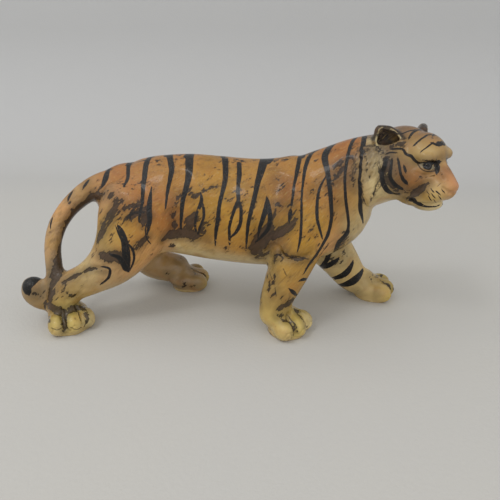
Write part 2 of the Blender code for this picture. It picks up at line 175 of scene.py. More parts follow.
# The head, in hundredths of its length: x to the nose, y to the left ear, z to the crown.
head = {
    "length": 37.0,
    "place": (67.0, -8.9, 95.3),
    "turn": -48.0,
    "nod": -2.0,
    "tilt": -2.0,
    "masses": [
        ((-5.4, 0.0, 6.8), (36.5, 32.4, 29.7)),  # skull
        ((-6.8, 0.0, 16.8), (29.7, 28.1, 23.8)),  # crown
        ((14.0, 0.0, 14.8), (25.0, 23.0, 22.0)),  # forehead
        ((24.3, 0.0, -8.6), (23.0, 18.4, 17.8)),  # root of the muzzle
        ((36.2, 0.0, -13.0), (19.5, 16.2, 14.1)),  # muzzle
        ((49.5, 0.0, -10.3), (7.8, 8.9, 6.5)),  # nose
        ((26.0, 0.0, -29.8), (17.3, 15.0, 9.2)),  # chin
        ((5.4, 0.0, -18.9), (24.3, 22.7, 14.6)),  # throat
    ],
    "pairs": [
        ((-4.1, 21.6, -7.0), (23.2, 13.5, 24.9)),  # cheek
        ((27.0, 13.2, 16.9), (11.0, 10.5, 7.4)),  # brow
        ((35.7, 9.5, -17.8), (14.3, 9.5, 10.5)),  # whisker pad
        ((15.1, 18.4, -5.9), (16.8, 8.1, 14.6)),  # cheekbone
        ((17.3, 13.0, -24.9), (18.9, 9.2, 9.2)),  # jaw
        ((28.2, 14.3, 5.6), (6.5, 5.7, 5.1)),  # eyeball
    ],
    "bridge": [
        ((20.3, 0.0, 15.1), 10.8, 7.8),
        ((32.4, 0.0, 7.3), 8.9, 7.8),
        ((41.6, 0.0, -1.1), 8.4, 7.6),
        ((48.4, 0.0, -7.8), 8.6, 6.5),
    ],
    "earPlaces": {-1: (-10.0, 22.8, 23.4), 1: (-8.6, 31.0, 20.8)},
    "earSize": (6.4, 11.2, 14.6),
    "earWall": 1.3,
    "earSplay": 24.0,
    "earFacing": 38.0,
    "earForward": 1.6,
    # the lobes of an ear's leaf shape: place outwards and up, share of its size
    "earLobes": [(0.0, 0.0, 100.0), (-26.0, -16.0, 60.0), (6.0, 28.0, 56.0)],
    # tooled lines: points, reach to either side, depth (raised where it is negative)
    "lines": [
        (
            [(21.6, 22.7, -27.6), (33.5, 17.8, -31.1), (40.5, 13.0, -31.1), (44.9, 7.0, -29.5), (47.0, 0.0, -27.8)],
            1.2,
            0.8,
        ),
        ([(38.8, 9.7, 9.2), (34.5, 16.8, 10.3), (26.3, 21.1, 9.0)], 1.0, 0.75),
        ([(38.2, 10.8, 1.4), (32.3, 17.8, -0.8), (24.7, 21.1, 1.0)], 0.9, 0.45),
        ([(55.7, 4.3, -15.9), (52.4, 8.1, -13.5), (48.1, 10.0, -10.8)], 0.9, 0.6),
        ([(36.8, 9.2, 6.5), (45.9, 10.0, -2.7)], 1.2, 0.4),
        ([(-10.8, 33.8, 13.5), (-2.7, 35.1, -5.4), (5.4, 32.4, -21.6), (13.5, 24.3, -32.4)], 2.4, 0.7),
        ([(56.2, 0.0, -17.8), (48.6, 0.0, -27.0)], 0.9, 0.5),
    ],
    # locks of the ruff behind the cheek
    "tuftColumns": (-9.0, -13.0, -17.0, -21.0),
    "tuftRows": (22.0, 15.0, 8.0, 1.0, -6.0),
    "tuftOut": 40.0,
    "tuftDrop": 3.0,
    "tuftLength": 4.0,
    "tuftReach": 0.95,
    "tuftHeight": 0.75,
    # the way a lock sways from place to place, where it bends and where it ends
    "tuftSway": (0.25, 2.3, 1.7),
    "tuftBend": (-0.35, -0.4),
    "tuftTip": (-0.3, -0.9),
    # how near an ear counts as on it, where 1 is its skin
    "earClear": 1.6,
}


def onBody(place, sign=1):
    sizes = (tiger["bodyLength"], tiger["bodyWidth"] * sign, tiger["backHeight"])
    return Vector([part * size / 100 for part, size in zip(place, sizes)])


def inHead(place, sign=1):
    return Vector((place[0], place[1] * sign, place[2])) * head["length"] / 100


def spline(rows, place):
    span = min(int(place), len(rows) - 2)
    t = place - span
    before, start = rows[max(span - 1, 0)], rows[span]
    end, after = rows[span + 1], rows[min(span + 2, len(rows) - 1)]
    return [
        0.5 * (2 * b + (c - a) * t + (2 * a - 5 * b + 4 * c - d) * t * t + (3 * b - a - 3 * c + d) * t**3)
        for a, b, c, d in zip(before, start, end, after)
    ]


def ring(bm, centre, side, up, halfSide, halfUp, narrowing=0.0):
    verts = []
    for step in range(tiger["ringSides"]):
        angle = 2 * math.pi * step / tiger["ringSides"]
        across = halfSide * math.cos(angle) * (1 - narrowing * math.sin(angle))
        verts.append(bm.verts.new(centre + side * across + up * halfUp * math.sin(angle)))
    return verts


# A closed tube through stations of (centre, half width, half thickness), with domed ends.
def loft(bm, stations, steps=4, narrowing=0.0, sideHint=(0, 1, 0)):
    rows = [(*centre, wide, thick) for centre, wide, thick in stations]
    spans = (len(rows) - 1) * steps
    samples = [spline(rows, step / steps) for step in range(spans + 1)]
    centres = [Vector(sample[:3]) for sample in samples]
    frames = []
    for index in range(spans + 1):
        along = (centres[min(index + 1, spans)] - centres[max(index - 1, 0)]).normalized()
        side = Vector(sideHint)
        side = (side - along * side.dot(along)).normalized()
        frames.append((along, side, along.cross(side)))

    def dome(end, sign):
        along, side, up = frames[end]
        wide, thick = samples[end][3:]
        depth = tiger["domeDepth"] * min(wide, thick)
        pole = bm.verts.new(centres[end] + along * depth * sign)
        rings = []
        for degrees in tiger["domeAngles"]:
            lean = math.radians(degrees)
            centre = centres[end] + along * depth * sign * math.sin(lean)
            rings.append(ring(bm, centre, side, up, wide * math.cos(lean), thick * math.cos(lean), narrowing))
        return pole, rings

    firstPole, firstRings = dome(0, -1)
    lastPole, lastRings = dome(spans, 1)
    middle = [
        ring(bm, centre, side, up, *sample[3:], narrowing)
        for centre, sample, (_, side, up) in zip(centres, samples, frames)
    ]
    rings = firstRings + middle + lastRings[::-1]
    sides = tiger["ringSides"]
    for one, other in zip(rings, rings[1:]):
        for step in range(sides):
            after = (step + 1) % sides
            bm.faces.new((one[step], one[after], other[after], other[step]))
    for step in range(sides):
        after = (step + 1) % sides
        bm.faces.new((firstPole, rings[0][after], rings[0][step]))
        bm.faces.new((lastPole, rings[-1][step], rings[-1][after]))


def ellipsoid(bm, centre, radii, turn=None):
    turn = turn or Matrix.Identity(4)
    place = Matrix.Translation(centre) @ turn @ Matrix.Diagonal((*radii, 1))
    bmesh.ops.create_icosphere(bm, subdivisions=5, radius=1, matrix=place)


def objectFrom(name, bm):
    bmesh.ops.recalc_face_normals(bm, faces=bm.faces)
    mesh = bpy.data.meshes.new(name)
    bm.to_mesh(mesh)
    bm.free()
    made = bpy.data.objects.new(name, mesh)
    bpy.context.scene.collection.objects.link(made)
    return made


def bakeModifiers(made):
    graph = bpy.context.evaluated_depsgraph_get()
    mesh = bpy.data.meshes.new_from_object(made.evaluated_get(graph))
    made.modifiers.clear()
    made.data = mesh


def melt(made, voxel, smoothing):
    remesh = made.modifiers.new("melt", "REMESH")
    remesh.mode = "VOXEL"
    remesh.voxel_size = voxel
    smooth = made.modifiers.new("soften", "SMOOTH")
    smooth.factor = 0.5
    smooth.iterations = smoothing


def bodyMasses():
    bm = bmesh.new()
    trunk = []
    for along, back, belly, halfWidth in tiger["trunk"]:
        centre = onBody((along, 0.0, (back + belly) / 2))
        halfHeight = (back - belly) / 2 * tiger["backHeight"] / 100
        trunk.append((centre, halfWidth * tiger["bodyWidth"] / 100, halfHeight))
    loft(bm, trunk, narrowing=tiger["backNarrowing"])
    loft(bm, [(onBody(place), wide, deep) for place, wide, deep in tiger["neck"]], narrowing=0.1)
    girth = tiger["legWidth"] / 100
    for leg in tiger["legs"].values():
        loft(bm, [(onBody(place), wide * girth, thick * girth) for place, wide, thick in leg])
    girth = tiger["tailWidth"] / 100
    loft(bm, [(onBody(place), wide * girth, thick * girth) for place, wide, thick in tiger["tail"]], steps=6)
    for sign in (-1, 1):
        for place, radii, lean in (tiger["haunch"], tiger["shoulder"]):
            ellipsoid(bm, onBody(place, sign), onBody(radii), Matrix.Rotation(math.radians(lean), 4, "Y"))
    for place, radii, lean in (tiger["ribCage"], tiger["tailRoot"]):
        ellipsoid(bm, onBody(place), onBody(radii), Matrix.Rotation(math.radians(lean), 4, "Y"))
    return objectFrom("masses", bm)


def pawFrame(place, heading):
    return Matrix.Translation(onBody((*place, 0.0))) @ Matrix.Rotation(math.radians(heading), 4, "Z")


def inPaw(shares):
    sizes = (tiger["pawLength"], tiger["pawWidth"], tiger["pawHeight"])
    return Vector([share * size for share, size in zip(shares, sizes)])


def addPaw(bm, place, heading):
    foot = pawFrame(place, heading)
    pad, radii = tiger["pad"]
    ellipsoid(bm, foot @ inPaw(pad), inPaw(radii), Matrix.Rotation(math.radians(heading), 4, "Z"))
    toeAhead, toeHeight = tiger["toePlace"]
    for across, ahead, fan in tiger["toes"]:
        toe = foot @ inPaw((toeAhead + ahead, across, toeHeight))
        toeTurn = Matrix.Rotation(math.radians(heading + fan), 4, "Z")
        ellipsoid(bm, toe, inPaw(tiger["toeRadii"]), toeTurn)
    sole = foot @ Matrix.Diagonal((*inPaw(tiger["sole"]).xy, 1, 1))
    bmesh.ops.create_cone(
        bm, cap_ends=True, segments=64, radius1=0.5, radius2=0.5, depth=3 * tiger["soleHeight"], matrix=sole
    )


def headFrame():
    angles = [math.radians(head[part]) for part in ("tilt", "nod", "turn")]
    return Matrix.Translation(onBody(head["place"])) @ Euler(angles, "XYZ").to_matrix().to_4x4()


def earTurn(sign):
    splay = Matrix.Rotation(math.radians(-head["earSplay"] * sign), 4, "X")
    return Matrix.Rotation(math.radians(head["earFacing"] * sign), 4, "Z") @ splay


# Where the lobes of an ear stand, or with a wall the lobes of the cup inside it: place, radii, turn.
def lobesOf(sign, wall):
    skull = headFrame()
    turn = skull.to_3x3().to_4x4() @ earTurn(sign)
    middle = skull @ inHead(head["earPlaces"][sign], sign)
    thick, wide, high = head["earSize"]
    lobes = []
    for out, up, share in head["earLobes"]:
        place = Vector((head["earForward"] * wall, out * sign * wide / 100, up * high / 100))
        sizes = (thick * (0.5 + share / 200), wide * share / 100, high * share / 100)
        lobes.append((middle + turn.to_3x3() @ place, [size / 2 - wall for size in sizes], turn))
    return lobes


def earLobes(bm, sign, wall):
    for lobe in lobesOf(sign, wall):
        ellipsoid(bm, *lobe)


def headAndPaws(skin):
    bm = bmesh.new()
    bm.from_mesh(skin)
    for place, heading in tiger["paws"].values():
        addPaw(bm, place, heading)
    skull = headFrame()
    turn = skull.to_3x3().to_4x4()
    for place, radii in head["masses"]:
        ellipsoid(bm, skull @ inHead(place), inHead(radii), turn)
    for sign in (-1, 1):
        for place, radii in head["pairs"]:
            ellipsoid(bm, skull @ inHead(place, sign), inHead(radii), turn)
        earLobes(bm, sign, 0.0)
    unit = head["length"] / 100
    bridge = [(skull @ inHead(place), wide * unit, thick * unit) for place, wide, thick in head["bridge"]]
    loft(bm, bridge, sideHint=turn @ Vector((0, 1, 0)))
    return objectFrom("forms", bm)


def earHollows():
    bm = bmesh.new()
    for sign in (-1, 1):
        earLobes(bm, sign, head["earWall"])
    return objectFrom("earHollows", bm)


masses = bodyMasses()
melt(masses, tiger["roughVoxel"], 10)
bakeModifiers(masses)
form = headAndPaws(masses.data)
hollows = earHollows()
melt(hollows, tiger["firstVoxel"] / 2, 0)
melt(form, tiger["firstVoxel"], 1)
cut = form.modifiers.new("earHollows", "BOOLEAN")
cut.operation = "DIFFERENCE"
cut.object = hollows
melt(form, tiger["fineVoxel"], 9)
bakeModifiers(form)
for helper in (masses, hollows):
    bpy.data.objects.remove(helper)
print("form melted:", len(form.data.vertices), "points")


laying = {
    "step": 0.6,
    "leastWidth": 0.05,
    # how much further away a line counts that lies on a skin turned from the point
    "turnedAway": 4.0,
    "carvingStep": 0.4,
    "carvingWidth": 0.1,
    "carvingFacing": -0.2,
}


# Points and normals of a mesh as arrays.
def meshArrays(mesh):
    count = len(mesh.vertices)
    spots, normals = np.zeros(count * 3), np.zeros(count * 3)
    mesh.vertices.foreach_get("co", spots)
    mesh.vertex_normals.foreach_get("vector", normals)
    return spots.reshape(-1, 3), normals.reshape(-1, 3)


def skinTree(mesh):
    return BVHTree.FromPolygons([vertex.co for vertex in mesh.vertices], [face.vertices for face in mesh.polygons])


# A smooth line through rows of (x, y, z, width), laid on the skin; each row gains the skin's normal.
def layLine(rows, tree, step=laying["step"]):
    length = sum((Vector(b[:3]) - Vector(a[:3])).length for a, b in zip(rows, rows[1:]))
    count = max(int(length / step), 2)
    laid = []
    for index in range(count + 1):
        sample = spline(rows, (len(rows) - 1) * index / count)
        spot, normal, _, _ = tree.find_nearest(sample[:3])
        laid.append((*spot, max(sample[3], laying["leastWidth"]), *normal))
    return np.array(laid)


# For the points near a laid line: their indices, signed distance across it, its half width there.
def acrossLine(spots, normals, line, margin, facing=0.0):
    low, high = line[:, :3].min(0) - margin, line[:, :3].max(0) + margin
    near = np.nonzero(np.all((spots > low) & (spots < high), axis=1))[0]
    if not len(near):
        return near, None, None
    start, along = line[:-1, :3], line[1:, :3] - line[:-1, :3]
    square = np.maximum((along**2).sum(1), 1e-9)
    away = spots[near][:, None] - start[None]
    t = np.clip((away * along[None]).sum(2) / square, 0, 1)
    offset = away - along[None] * t[..., None]
    distance = np.sqrt((offset**2).sum(2))
    half = (line[:-1, 3] + (line[1:, 3] - line[:-1, 3]) * t) / 2
    turned = (normals[near] @ line[:-1, 4:7].T) < facing
    best = (distance - half + laying["turnedAway"] * turned).argmin(1)
    pick = (np.arange(len(near)), best)
    side = np.sign((np.cross(normals[near], along[best]) * offset[pick]).sum(1))
    side[side == 0] = 1
    signed = side * distance[pick]
    keep = ~turned[pick]
    return near[keep], signed[keep], half[pick][keep]


# Presses lines of (points, reach, depth) into the mesh along its normals; ridges that meet do not add up.
def press(mesh, lines):
    tree = skinTree(mesh)
    spots, normals = meshArrays(mesh)
    grooves, ridges = np.zeros(len(spots)), np.zeros(len(spots))
    for points, reach, depth in lines:
        line = layLine([(*point, laying["carvingWidth"]) for point in points], tree, laying["carvingStep"])
        near, across, _ = acrossLine(spots, normals, line, reach, laying["carvingFacing"])
        if across is not None:
            amount = depth * np.clip(1 - (across / reach) ** 2, 0, None) ** 2
            grooves[near] += np.clip(amount, 0, None)
            ridges[near] = np.minimum(ridges[near], amount)
    spots -= normals * (grooves + ridges)[:, None]
    mesh.vertices.foreach_set("co", spots.ravel())
    mesh.update()


def onEar(spot, sign):
    for centre, radii, turn in lobesOf(sign, 0.0):
        local = turn.to_3x3().transposed() @ (spot - centre)
        if sum((part / radius) ** 2 for part, radius in zip(local, radii)) < head["earClear"]:
            return True
    return False


# Locks of hair on the ruff, left out where they would stand on an ear.
def ruffLocks(skin, skull, sign):
    most, byColumn, byHeight = head["tuftSway"]
    (bendBack, bendDown), (tipBack, tipDown) = head["tuftBend"], head["tuftTip"]
    locks = []
    for column, back in enumerate(head["tuftColumns"]):
        for height in head["tuftRows"]:
            sway = most * math.sin(byColumn * column + byHeight * height)
            root = inHead((back, head["tuftOut"], height - head["tuftDrop"] * column), sign)
            bend = root + Vector((bendBack + sway, 0, bendDown)) * head["tuftLength"]
            tip = root + Vector((tipBack - sway, 0, tipDown)) * head["tuftLength"]
            points = [skull @ spot for spot in (root, bend, tip)]
            if not any(onEar(skin.find_nearest(point)[0], sign) for point in points):
                locks.append((points, head["tuftReach"], -head["tuftHeight"]))
    return locks


def toeGapLine(place, heading, gap):
    foot = pawFrame(place, heading)
    spread = tiger["toeGapSpread"]
    return [foot @ inPaw((x, gap * (1 + spread * x), z)) for x, z in tiger["toeGapPath"]]


carving = {
    "toeGapReach": 1.1,
    "toeGapDepth": 0.75,
    "clawReach": 0.55,
    "clawDepth": 0.32,
    "clawAhead": 0.28,
    "clawSpread": 0.3,
    "clawArc": [(-0.42, 0.24), (-0.22, 0.42), (0.0, 0.48), (0.22, 0.42), (0.42, 0.24)],
    # creases and ridges of the coat in millimetres: points, reach, depth, and the shift of its match on the left
    "creases": [
        (((15.6, -16.7, 34.2), (17.2, -18.1, 36.9), (19.5, -20.0, 37.4), (20.7, -21.1, 35.1)), 1.6, 0.75, 6.0),
        (((20.7, -21.1, 35.1), (23.4, -22.1, 33.6), (27.1, -22.1, 34.1), (31.6, -20.7, 34.9)), 1.6, 0.75, 6.0),
        (((13.2, -14.7, 30.7), (14.0, -16.2, 34.3), (16.4, -17.7, 37.6)), 1.8, -0.5, 6.0),
        (((-26.8, -13.3, 30.5), (-23.9, -15.3, 35.9), (-20.8, -16.2, 42.2), (-19.8, -15.7, 48.5)), 2.6, 0.55, 0.0),
        (((-65.2, -24.8, 20.7), (-59.2, -24.5, 23.5), (-53.1, -24.3, 26.7), (-47.2, -24.6, 28.4)), 1.3, 0.4, None),
        (((-63.9, -26.3, 13.9), (-60.0, -25.3, 15.4), (-56.1, -25.5, 19.3)), 1.2, 0.3, None),
        (((22.1, -24.0, 14.9), (24.8, -22.5, 15.5), (27.0, -20.8, 17.3)), 1.3, 0.3, None),
    ],
}


# A curved nick over each toe's end, which rims the claw.
def clawLines(place, heading):
    foot = pawFrame(place, heading)
    reach = carving["clawAhead"] * tiger["pawLength"]
    lines = []
    for across, ahead, fan in tiger["toes"]:
        cosine, sine = math.cos(math.radians(fan)), math.sin(math.radians(fan))
        toe = inPaw((tiger["toePlace"][0] + ahead, across, 0))
        points = []
        for side, high in carving["clawArc"]:
            aside = side * carving["clawSpread"] * tiger["pawWidth"]
            end = Vector((cosine * reach - sine * aside, sine * reach + cosine * aside, 0))
            points.append(foot @ (toe + end + inPaw((0, 0, high))))
        lines.append((points, carving["clawReach"], carving["clawDepth"]))
    return lines


skull = headFrame()
skin = skinTree(form.data)
lines = []
for sign in (-1, 1):
    lines += [([skull @ inHead(point, sign) for point in points], *rest) for points, *rest in head["lines"]]
    lines += [([onBody(point, sign) for point in points], *rest) for points, *rest in tiger["folds"]]
    lines += ruffLocks(skin, skull, sign)
for place, heading in tiger["paws"].values():
    for gap in tiger["toeGaps"]:
        lines.append((toeGapLine(place, heading, gap), carving["toeGapReach"], carving["toeGapDepth"]))
    lines += clawLines(place, heading)
for points, reach, depth, shift in carving["creases"]:
    lines.append(([Vector(point) for point in points], reach, depth))
    if shift is not None:
        lines.append(([Vector((x + shift, -y, z)) for x, y, z in points], reach, depth))
press(form.data, lines)
print("carved:", len(lines), "lines")

# The soles are cut flat where the tiger stands.
bm = bmesh.new()
bm.from_mesh(form.data)
cutResult = bmesh.ops.bisect_plane(
    bm, geom=bm.verts[:] + bm.edges[:] + bm.faces[:], plane_co=(0, 0, 0), plane_no=(0, 0, 1), clear_inner=True
)
rims = [part for part in cutResult["geom_cut"] if isinstance(part, bmesh.types.BMEdge)]
bmesh.ops.holes_fill(bm, edges=rims, sides=0)
bmesh.ops.triangulate(bm, faces=bm.faces[:])
bmesh.ops.recalc_face_normals(bm, faces=bm.faces[:])
bm.to_mesh(form.data)
bm.free()
thin = form.modifiers.new("thinOut", "DECIMATE")
thin.ratio = min(tiger["triangles"] / len(form.data.polygons), 1.0)
bakeModifiers(form)
print("thinned:", len(form.data.polygons), "triangles")

# The painting, in the body's own millimetres: strokes and washes run through (x, y, z, width).
paint = {
    "seed": 11,
    # glazes in sRGB out of 255; peach, sand and cream also lay painted light on a few patches, and khaki lays painted
    # shade
    "glazes": {
        "rust": (158, 98, 42),
        "russet": (124, 88, 50),
        "dusk": (108, 90, 70),
        "salmon": (156, 108, 60),
        "peach": (196, 146, 90),
        "tan": (160, 116, 56),
        "sand": (176, 140, 94),
        "amber": (168, 120, 46),
        "gold": (174, 130, 44),
        "ochre": (168, 128, 58),
        "olive": (156, 126, 74),
        "straw": (180, 152, 90),
        "lemon": (198, 174, 96),
        "bone": (198, 174, 122),
        "cream": (222, 202, 150),
        "khaki": (148, 124, 88),
        "nose": (192, 130, 98),
        "smoke": (52, 46, 41),
        "umber": (58, 43, 33),
        "soot": (20, 16, 13),
        "black": (8, 7, 7),
        "eyeWhite": (138, 126, 100),
        "iris": (70, 70, 74),
    },
    # strengths of the effects, and the ranges of noise or level over which they come in
    "look": {
        "cloud": 0.3,
        "hair": 0.38,
        "hollow": 1.7,
        "furrow": 0.9,
        "cluster": 1.1,
        "washDepth": 0.92,
        "veil": 0.5,
        "mottle": 0.3,
        "wobble": 0.29,
        "strokeSoftness": 0.05,
        "coat": 0.16,
        "bump": 0.9,
        "rustClouds": (0.5, 0.72),
        "goldClouds": (0.46, 0.3),
        "hairRidges": (0.54, 0.7),
        "tuftHollows": (0.52, 0.32),
        "pooling": (0.42, 0.56),
        "washOnset": (0.03, 0.16),
        "brownWash": (0.5, 1.05),
        "dryness": 0.5,
        "specks": (0.3, 0.8),
        "roughness": (0.16, 0.26),
        "specular": 0.28,
        "coatRoughness": 0.06,
        "tuftRelief": 1.6,
        "hairRelief": 1.1,
        "cloudRelief": 1.5,
        "strokeRelief": 0.2,
        "bumpDistance": 0.00035,
    },
    "washEdge": 0.8,
    "washWidth": 1.2,
    "smokeReach": 1.7,
    "stain": 0.19,
    "far": 9.0,
    "strokeMargin": 3.0,
    "washMargin": 8.0,
    "washFacing": -0.3,
    "meeting": 0.9,
    "leftShare": 0.85,
    "bodyStripes": {
        "tailRoot": [(-49.7, -1.6, 60.2, 2.55), (-50.2, -4.7, 57.9, 2.95), (-51.2, -6.5, 55.5, 1.68)],
        "s1": [(-41.2, 1.2, 62.4, 2.12), (-39.7, -8.6, 60.4, 1.82), (-39.9, -13.7, 57.6, 0.79)],
        "s2": [(-33, -1.9, 65.6, 2.47), (-32.5, -10.2, 61, 2.18), (-32.5, -13.3, 57.4, 1.77),
            (-32, -17.5, 52.4, 1.16)],
        "scribA": [(-32, -17.5, 52.4, 1.16), (-32.8, -19, 48.9, 1.16), (-33.2, -19.9, 45.6, 0.78)],
        "scribB": [(-31.7, -18.7, 49.2, 0.97), (-35, -19.3, 48.9, 1.17), (-37.6, -20, 47.5, 1.17),
            (-39.2, -20.6, 45.6, 0.59)],
        "scribC": [(-34.3, -18.5, 51, 0.78), (-36.5, -19.6, 48.6, 0.97), (-36.1, -20.4, 45.7, 0.58)],
        "s2b": [(-29.2, -13.6, 57.2, 0.59), (-29.4, -16, 53.7, 1.55), (-29.5, -17.9, 49.8, 2.13),
            (-29.4, -18.9, 45.6, 1.75), (-30.5, -20.1, 40.5, 0.59)],
        "s2bLoop": [(-30.3, -19.2, 45.4, 0.47), (-31, -20, 42.1, 0.62), (-30.6, -20.2, 38.9, 0.63),
            (-29.7, -19.7, 37, 0.47)],
        "hip": [(-40.9, -21.1, 43.9, 1.34), (-39.3, -21.9, 40.9, 2.35), (-38.5, -22.7, 36.3, 2.95),
            (-38.5, -23.1, 31.7, 3.17), (-38.6, -22.3, 25.9, 1.21)],
        "hipLoop": [(-38.6, -22.3, 38.6, 0.59), (-36, -22.2, 35.2, 0.95), (-35.9, -22.1, 30.8, 0.95),
            (-38, -22, 26.3, 0.6)],
        "hipBranch": [(-44.2, -23.7, 33.3, 1), (-40.8, -23.6, 31.8, 2.19), (-39.2, -22.9, 27.2, 2.41)],
        "hipSpike": [(-38.7, -22.8, 35.5, 1.58), (-39, -22.5, 37.8, 1.57), (-41.2, -21.6, 41.9, 0.79),
            (-42, -20.9, 44.1, 0.39)],
        "s3": [(-25.1, 0.2, 66.8, 2.67), (-22.3, -8.3, 63.7, 2.16), (-22.5, -11.1, 60, 1.76),
            (-23, -13.8, 56.2, 1.36), (-23.6, -16.5, 49.9, 0.46)],
        "s4": [(-17.1, 1.9, 67.1, 3.48), (-15.4, -8.8, 63.2, 2.92), (-16.1, -12.5, 57.2, 2.32),
            (-17.1, -14.1, 53.5, 1.93), (-17.7, -15.7, 47.8, 1.55), (-18.2, -16.4, 42.5, 0.97)],
        "s5L": [(-10.3, -13.8, 56, 0.57), (-9.9, -15.2, 52.8, 1.52), (-11.6, -16.6, 48.3, 1.07),
            (-12.3, -17.2, 43.7, 1), (-11.6, -17.1, 40, 0.58)],
        "s5R": [(-9.9, -15.2, 52.8, 0.95), (-9, -16, 50.4, 1.14), (-9, -16.8, 47, 1.14), (-10.5, -17.2, 43.1, 1),
            (-11.6, -17.1, 40, 0.58)],
        "s6": [(-2.9, 0.3, 66.5, 2.61), (-1.3, -9.3, 62, 2.11), (-1.8, -12.9, 57.3, 1.71), (-3, -15.6, 51.8, 1.51),
            (-3.5, -17.1, 46.4, 1.71), (-4.3, -17.4, 41.6, 1.34), (-4.9, -16.3, 34.9, 0.47)],
        "s7T": [(3.3, -4.6, 65.1, 1.76), (3.9, -9.1, 62, 1.92), (3.8, -12.4, 58.5, 1.51), (4.3, -15.8, 54.2, 1.68)],
        "s7L": [(4.3, -15.8, 54.2, 1.5), (2.5, -17.4, 49.6, 1.27), (1, -17.9, 44.2, 1.21), (0.9, -17.8, 39.9, 1.07),
            (0.9, -17, 35.4, 0.46)],
        "s7R": [(4.5, -16.3, 53.4, 1.31), (5.4, -17.4, 51.1, 1.34), (5.3, -18.6, 46.2, 1.42),
            (3.6, -18.4, 42.3, 1.21), (1.1, -17.7, 39.5, 0.69)],
        "s8": [(13.3, 2.7, 65.6, 3.63), (12.2, -6.9, 63.8, 3.08), (11.1, -11.5, 59.9, 2.27),
            (10.5, -14.8, 56.4, 1.87), (9.3, -17.7, 51.3, 1.67), (8.3, -18.8, 46.4, 1.49), (7.7, -18.8, 41.1, 1.13),
            (7.1, -17, 34, 0.39)],
        "s9L": [(14.8, -14.2, 54.9, 0.75), (14.6, -16, 51.3, 2.06), (13.6, -17.2, 47.8, 1.87),
            (12.5, -17.8, 44.4, 1.5), (11.7, -17.6, 39.8, 0.57)],
        "s9R": [(15.2, -14.6, 54, 0.94), (16.2, -16.9, 48.3, 1.87), (15.7, -17.5, 44, 1.73),
            (13.3, -17.4, 40.6, 1.36), (11, -17.5, 38.1, 0.76)],
        "s10": [(27.2, 2.2, 67.3, 1.6), (26, -6.7, 65.6, 1.73), (25.3, -10.6, 62.3, 1.36), (24.6, -14.3, 59.2, 1.12),
            (24.4, -16.1, 56.7, 1.04), (24, -17.3, 53.2, 0.74)],
        "s10b": [(23.9, -17.7, 51.8, 0.92), (23.6, -18.2, 50, 1.67), (23.3, -19.1, 46.8, 0.44)],
        "s11": [(31.1, -1.2, 69, 1.97), (29.1, -6.5, 66.3, 1.73), (28.3, -9.8, 63.3, 1.33), (27.9, -13.3, 60.5, 0.97),
            (27.6, -16.8, 56.2, 0.81), (27.8, -18.9, 49.4, 0.96), (27.8, -20.3, 43.9, 1.11),
            (27.5, -21.1, 40.2, 0.97), (26.8, -21.7, 36.4, 0.45)],
        "s12": [(37.3, -2.5, 71.3, 3.12), (35.7, -6.9, 68.8, 2.68), (36.7, -11.7, 64.4, 1.88),
            (38, -14.7, 57.2, 1.72), (38.9, -15.9, 49.8, 1.73), (38.3, -16.9, 43.3, 1.74), (36.6, -17.7, 38.7, 1.75),
            (34.2, -18.9, 34.7, 1.52), (31.4, -20.6, 30.9, 1.14), (29.5, -21.5, 27.3, 0.46)],
        "s12b": [(36.3, -12.4, 63.1, 0.56), (34.1, -14, 59, 0.97), (33.3, -16.7, 54, 1.26), (33.7, -18.4, 48.1, 1.26),
            (35.8, -18.4, 41, 0.68)],
        "s13": [(45.8, -3.8, 74.3, 1.55), (43.7, -9.8, 70, 1.28), (43, -12.9, 62.8, 1.12), (43.8, -14.4, 54.8, 1.13),
            (45.4, -14.2, 46.9, 1.15), (45.6, -13.7, 42, 1.16)],
        "s13b": [(45.4, -13.9, 42.8, 1.16), (45.2, -13.7, 41.1, 2.13), (42.2, -12.2, 35, 2.37), (40.5, 8, 21.1, 2.22),
            (37.7, 13.6, 14, 0.69)],
        "s14": [(49.6, -5.3, 75, 1.93), (48.2, -12.5, 69.3, 1.35), (48.2, -14.7, 62.5, 1.27),
            (49.1, -14.2, 54.9, 1.51), (49.7, -12.6, 50.5, 1.84), (51.5, -9.9, 44.4, 0.59)],
    },
    # strokes that run over the spine to the other side: lean and drop of the middle point
    "overTheSpine": {
        "tailRoot": (-0.5, 1.0),
        "s1": (0.5, 1.0),
        "s2": (0.8, 1.0),
        "s3": (-0.6, 0.6),
        "s4": (0.2, 0.6),
        "s6": (-0.2, 0.6),
        "s8": (1.4, 0.6),
        "s10": (1.0, 0.8),
        "s11": (1.6, 0.8),
        "s12": (1.2, 1.0),
        "s13": (1.6, 1.0),
        "s14": (0.8, 1.0),
    },
    # how the left side's stripes stray from the right's, growing from the spine to the point given last
    "stray": {"drift": (-0.9, 0.9), "swell": (0.85, 1.15), "along": (-0.5, 0.5), "up": (-0.8, 0.8), "fullAt": 3},
    "legMarks": {
        "ffA": [(37.8, 13.3, 14.1, 1.38), (41.8, 8.8, 17.6, 2.69), (45.1, 8.3, 20.7, 1.34)],
        "ffB": [(44.3, 11.5, 9.7, 1.84), (49.3, 9.1, 13.8, 2.95), (51.9, 10.4, 18.5, 1.36)],
        "ffC": [(47.3, 12.2, 5.9, 1.86), (52.6, 9.4, 9.6, 3.67), (56.8, 12.6, 13.7, 1.62)],
        "nf1": [(27.9, -22.3, 24.6, 0.38), (29.4, -21.2, 24.8, 1.54), (31.2, -17.4, 23.4, 0.39)],
        "nf2": [(24.2, -23.6, 21.9, 0.38), (25.8, -22.9, 20.1, 1.54), (27.4, -19.5, 16.8, 0.47)],
        "elbow1": [(18.1, -19.4, 33.4, 0.53), (19.6, -20.6, 34.8, 0.53), (21.5, -21.6, 34.1, 0.53),
            (20.8, -21.9, 32.1, 0.53)],
        "elbow2": [(23.8, -22.2, 33.6, 0.49), (27.5, -22, 34.3, 0.49), (30.9, -21, 33.4, 0.49)],
        "legDash1": [(16.7, -20.1, 26.9, 0.39), (17.6, -22, 24.9, 0.61)],
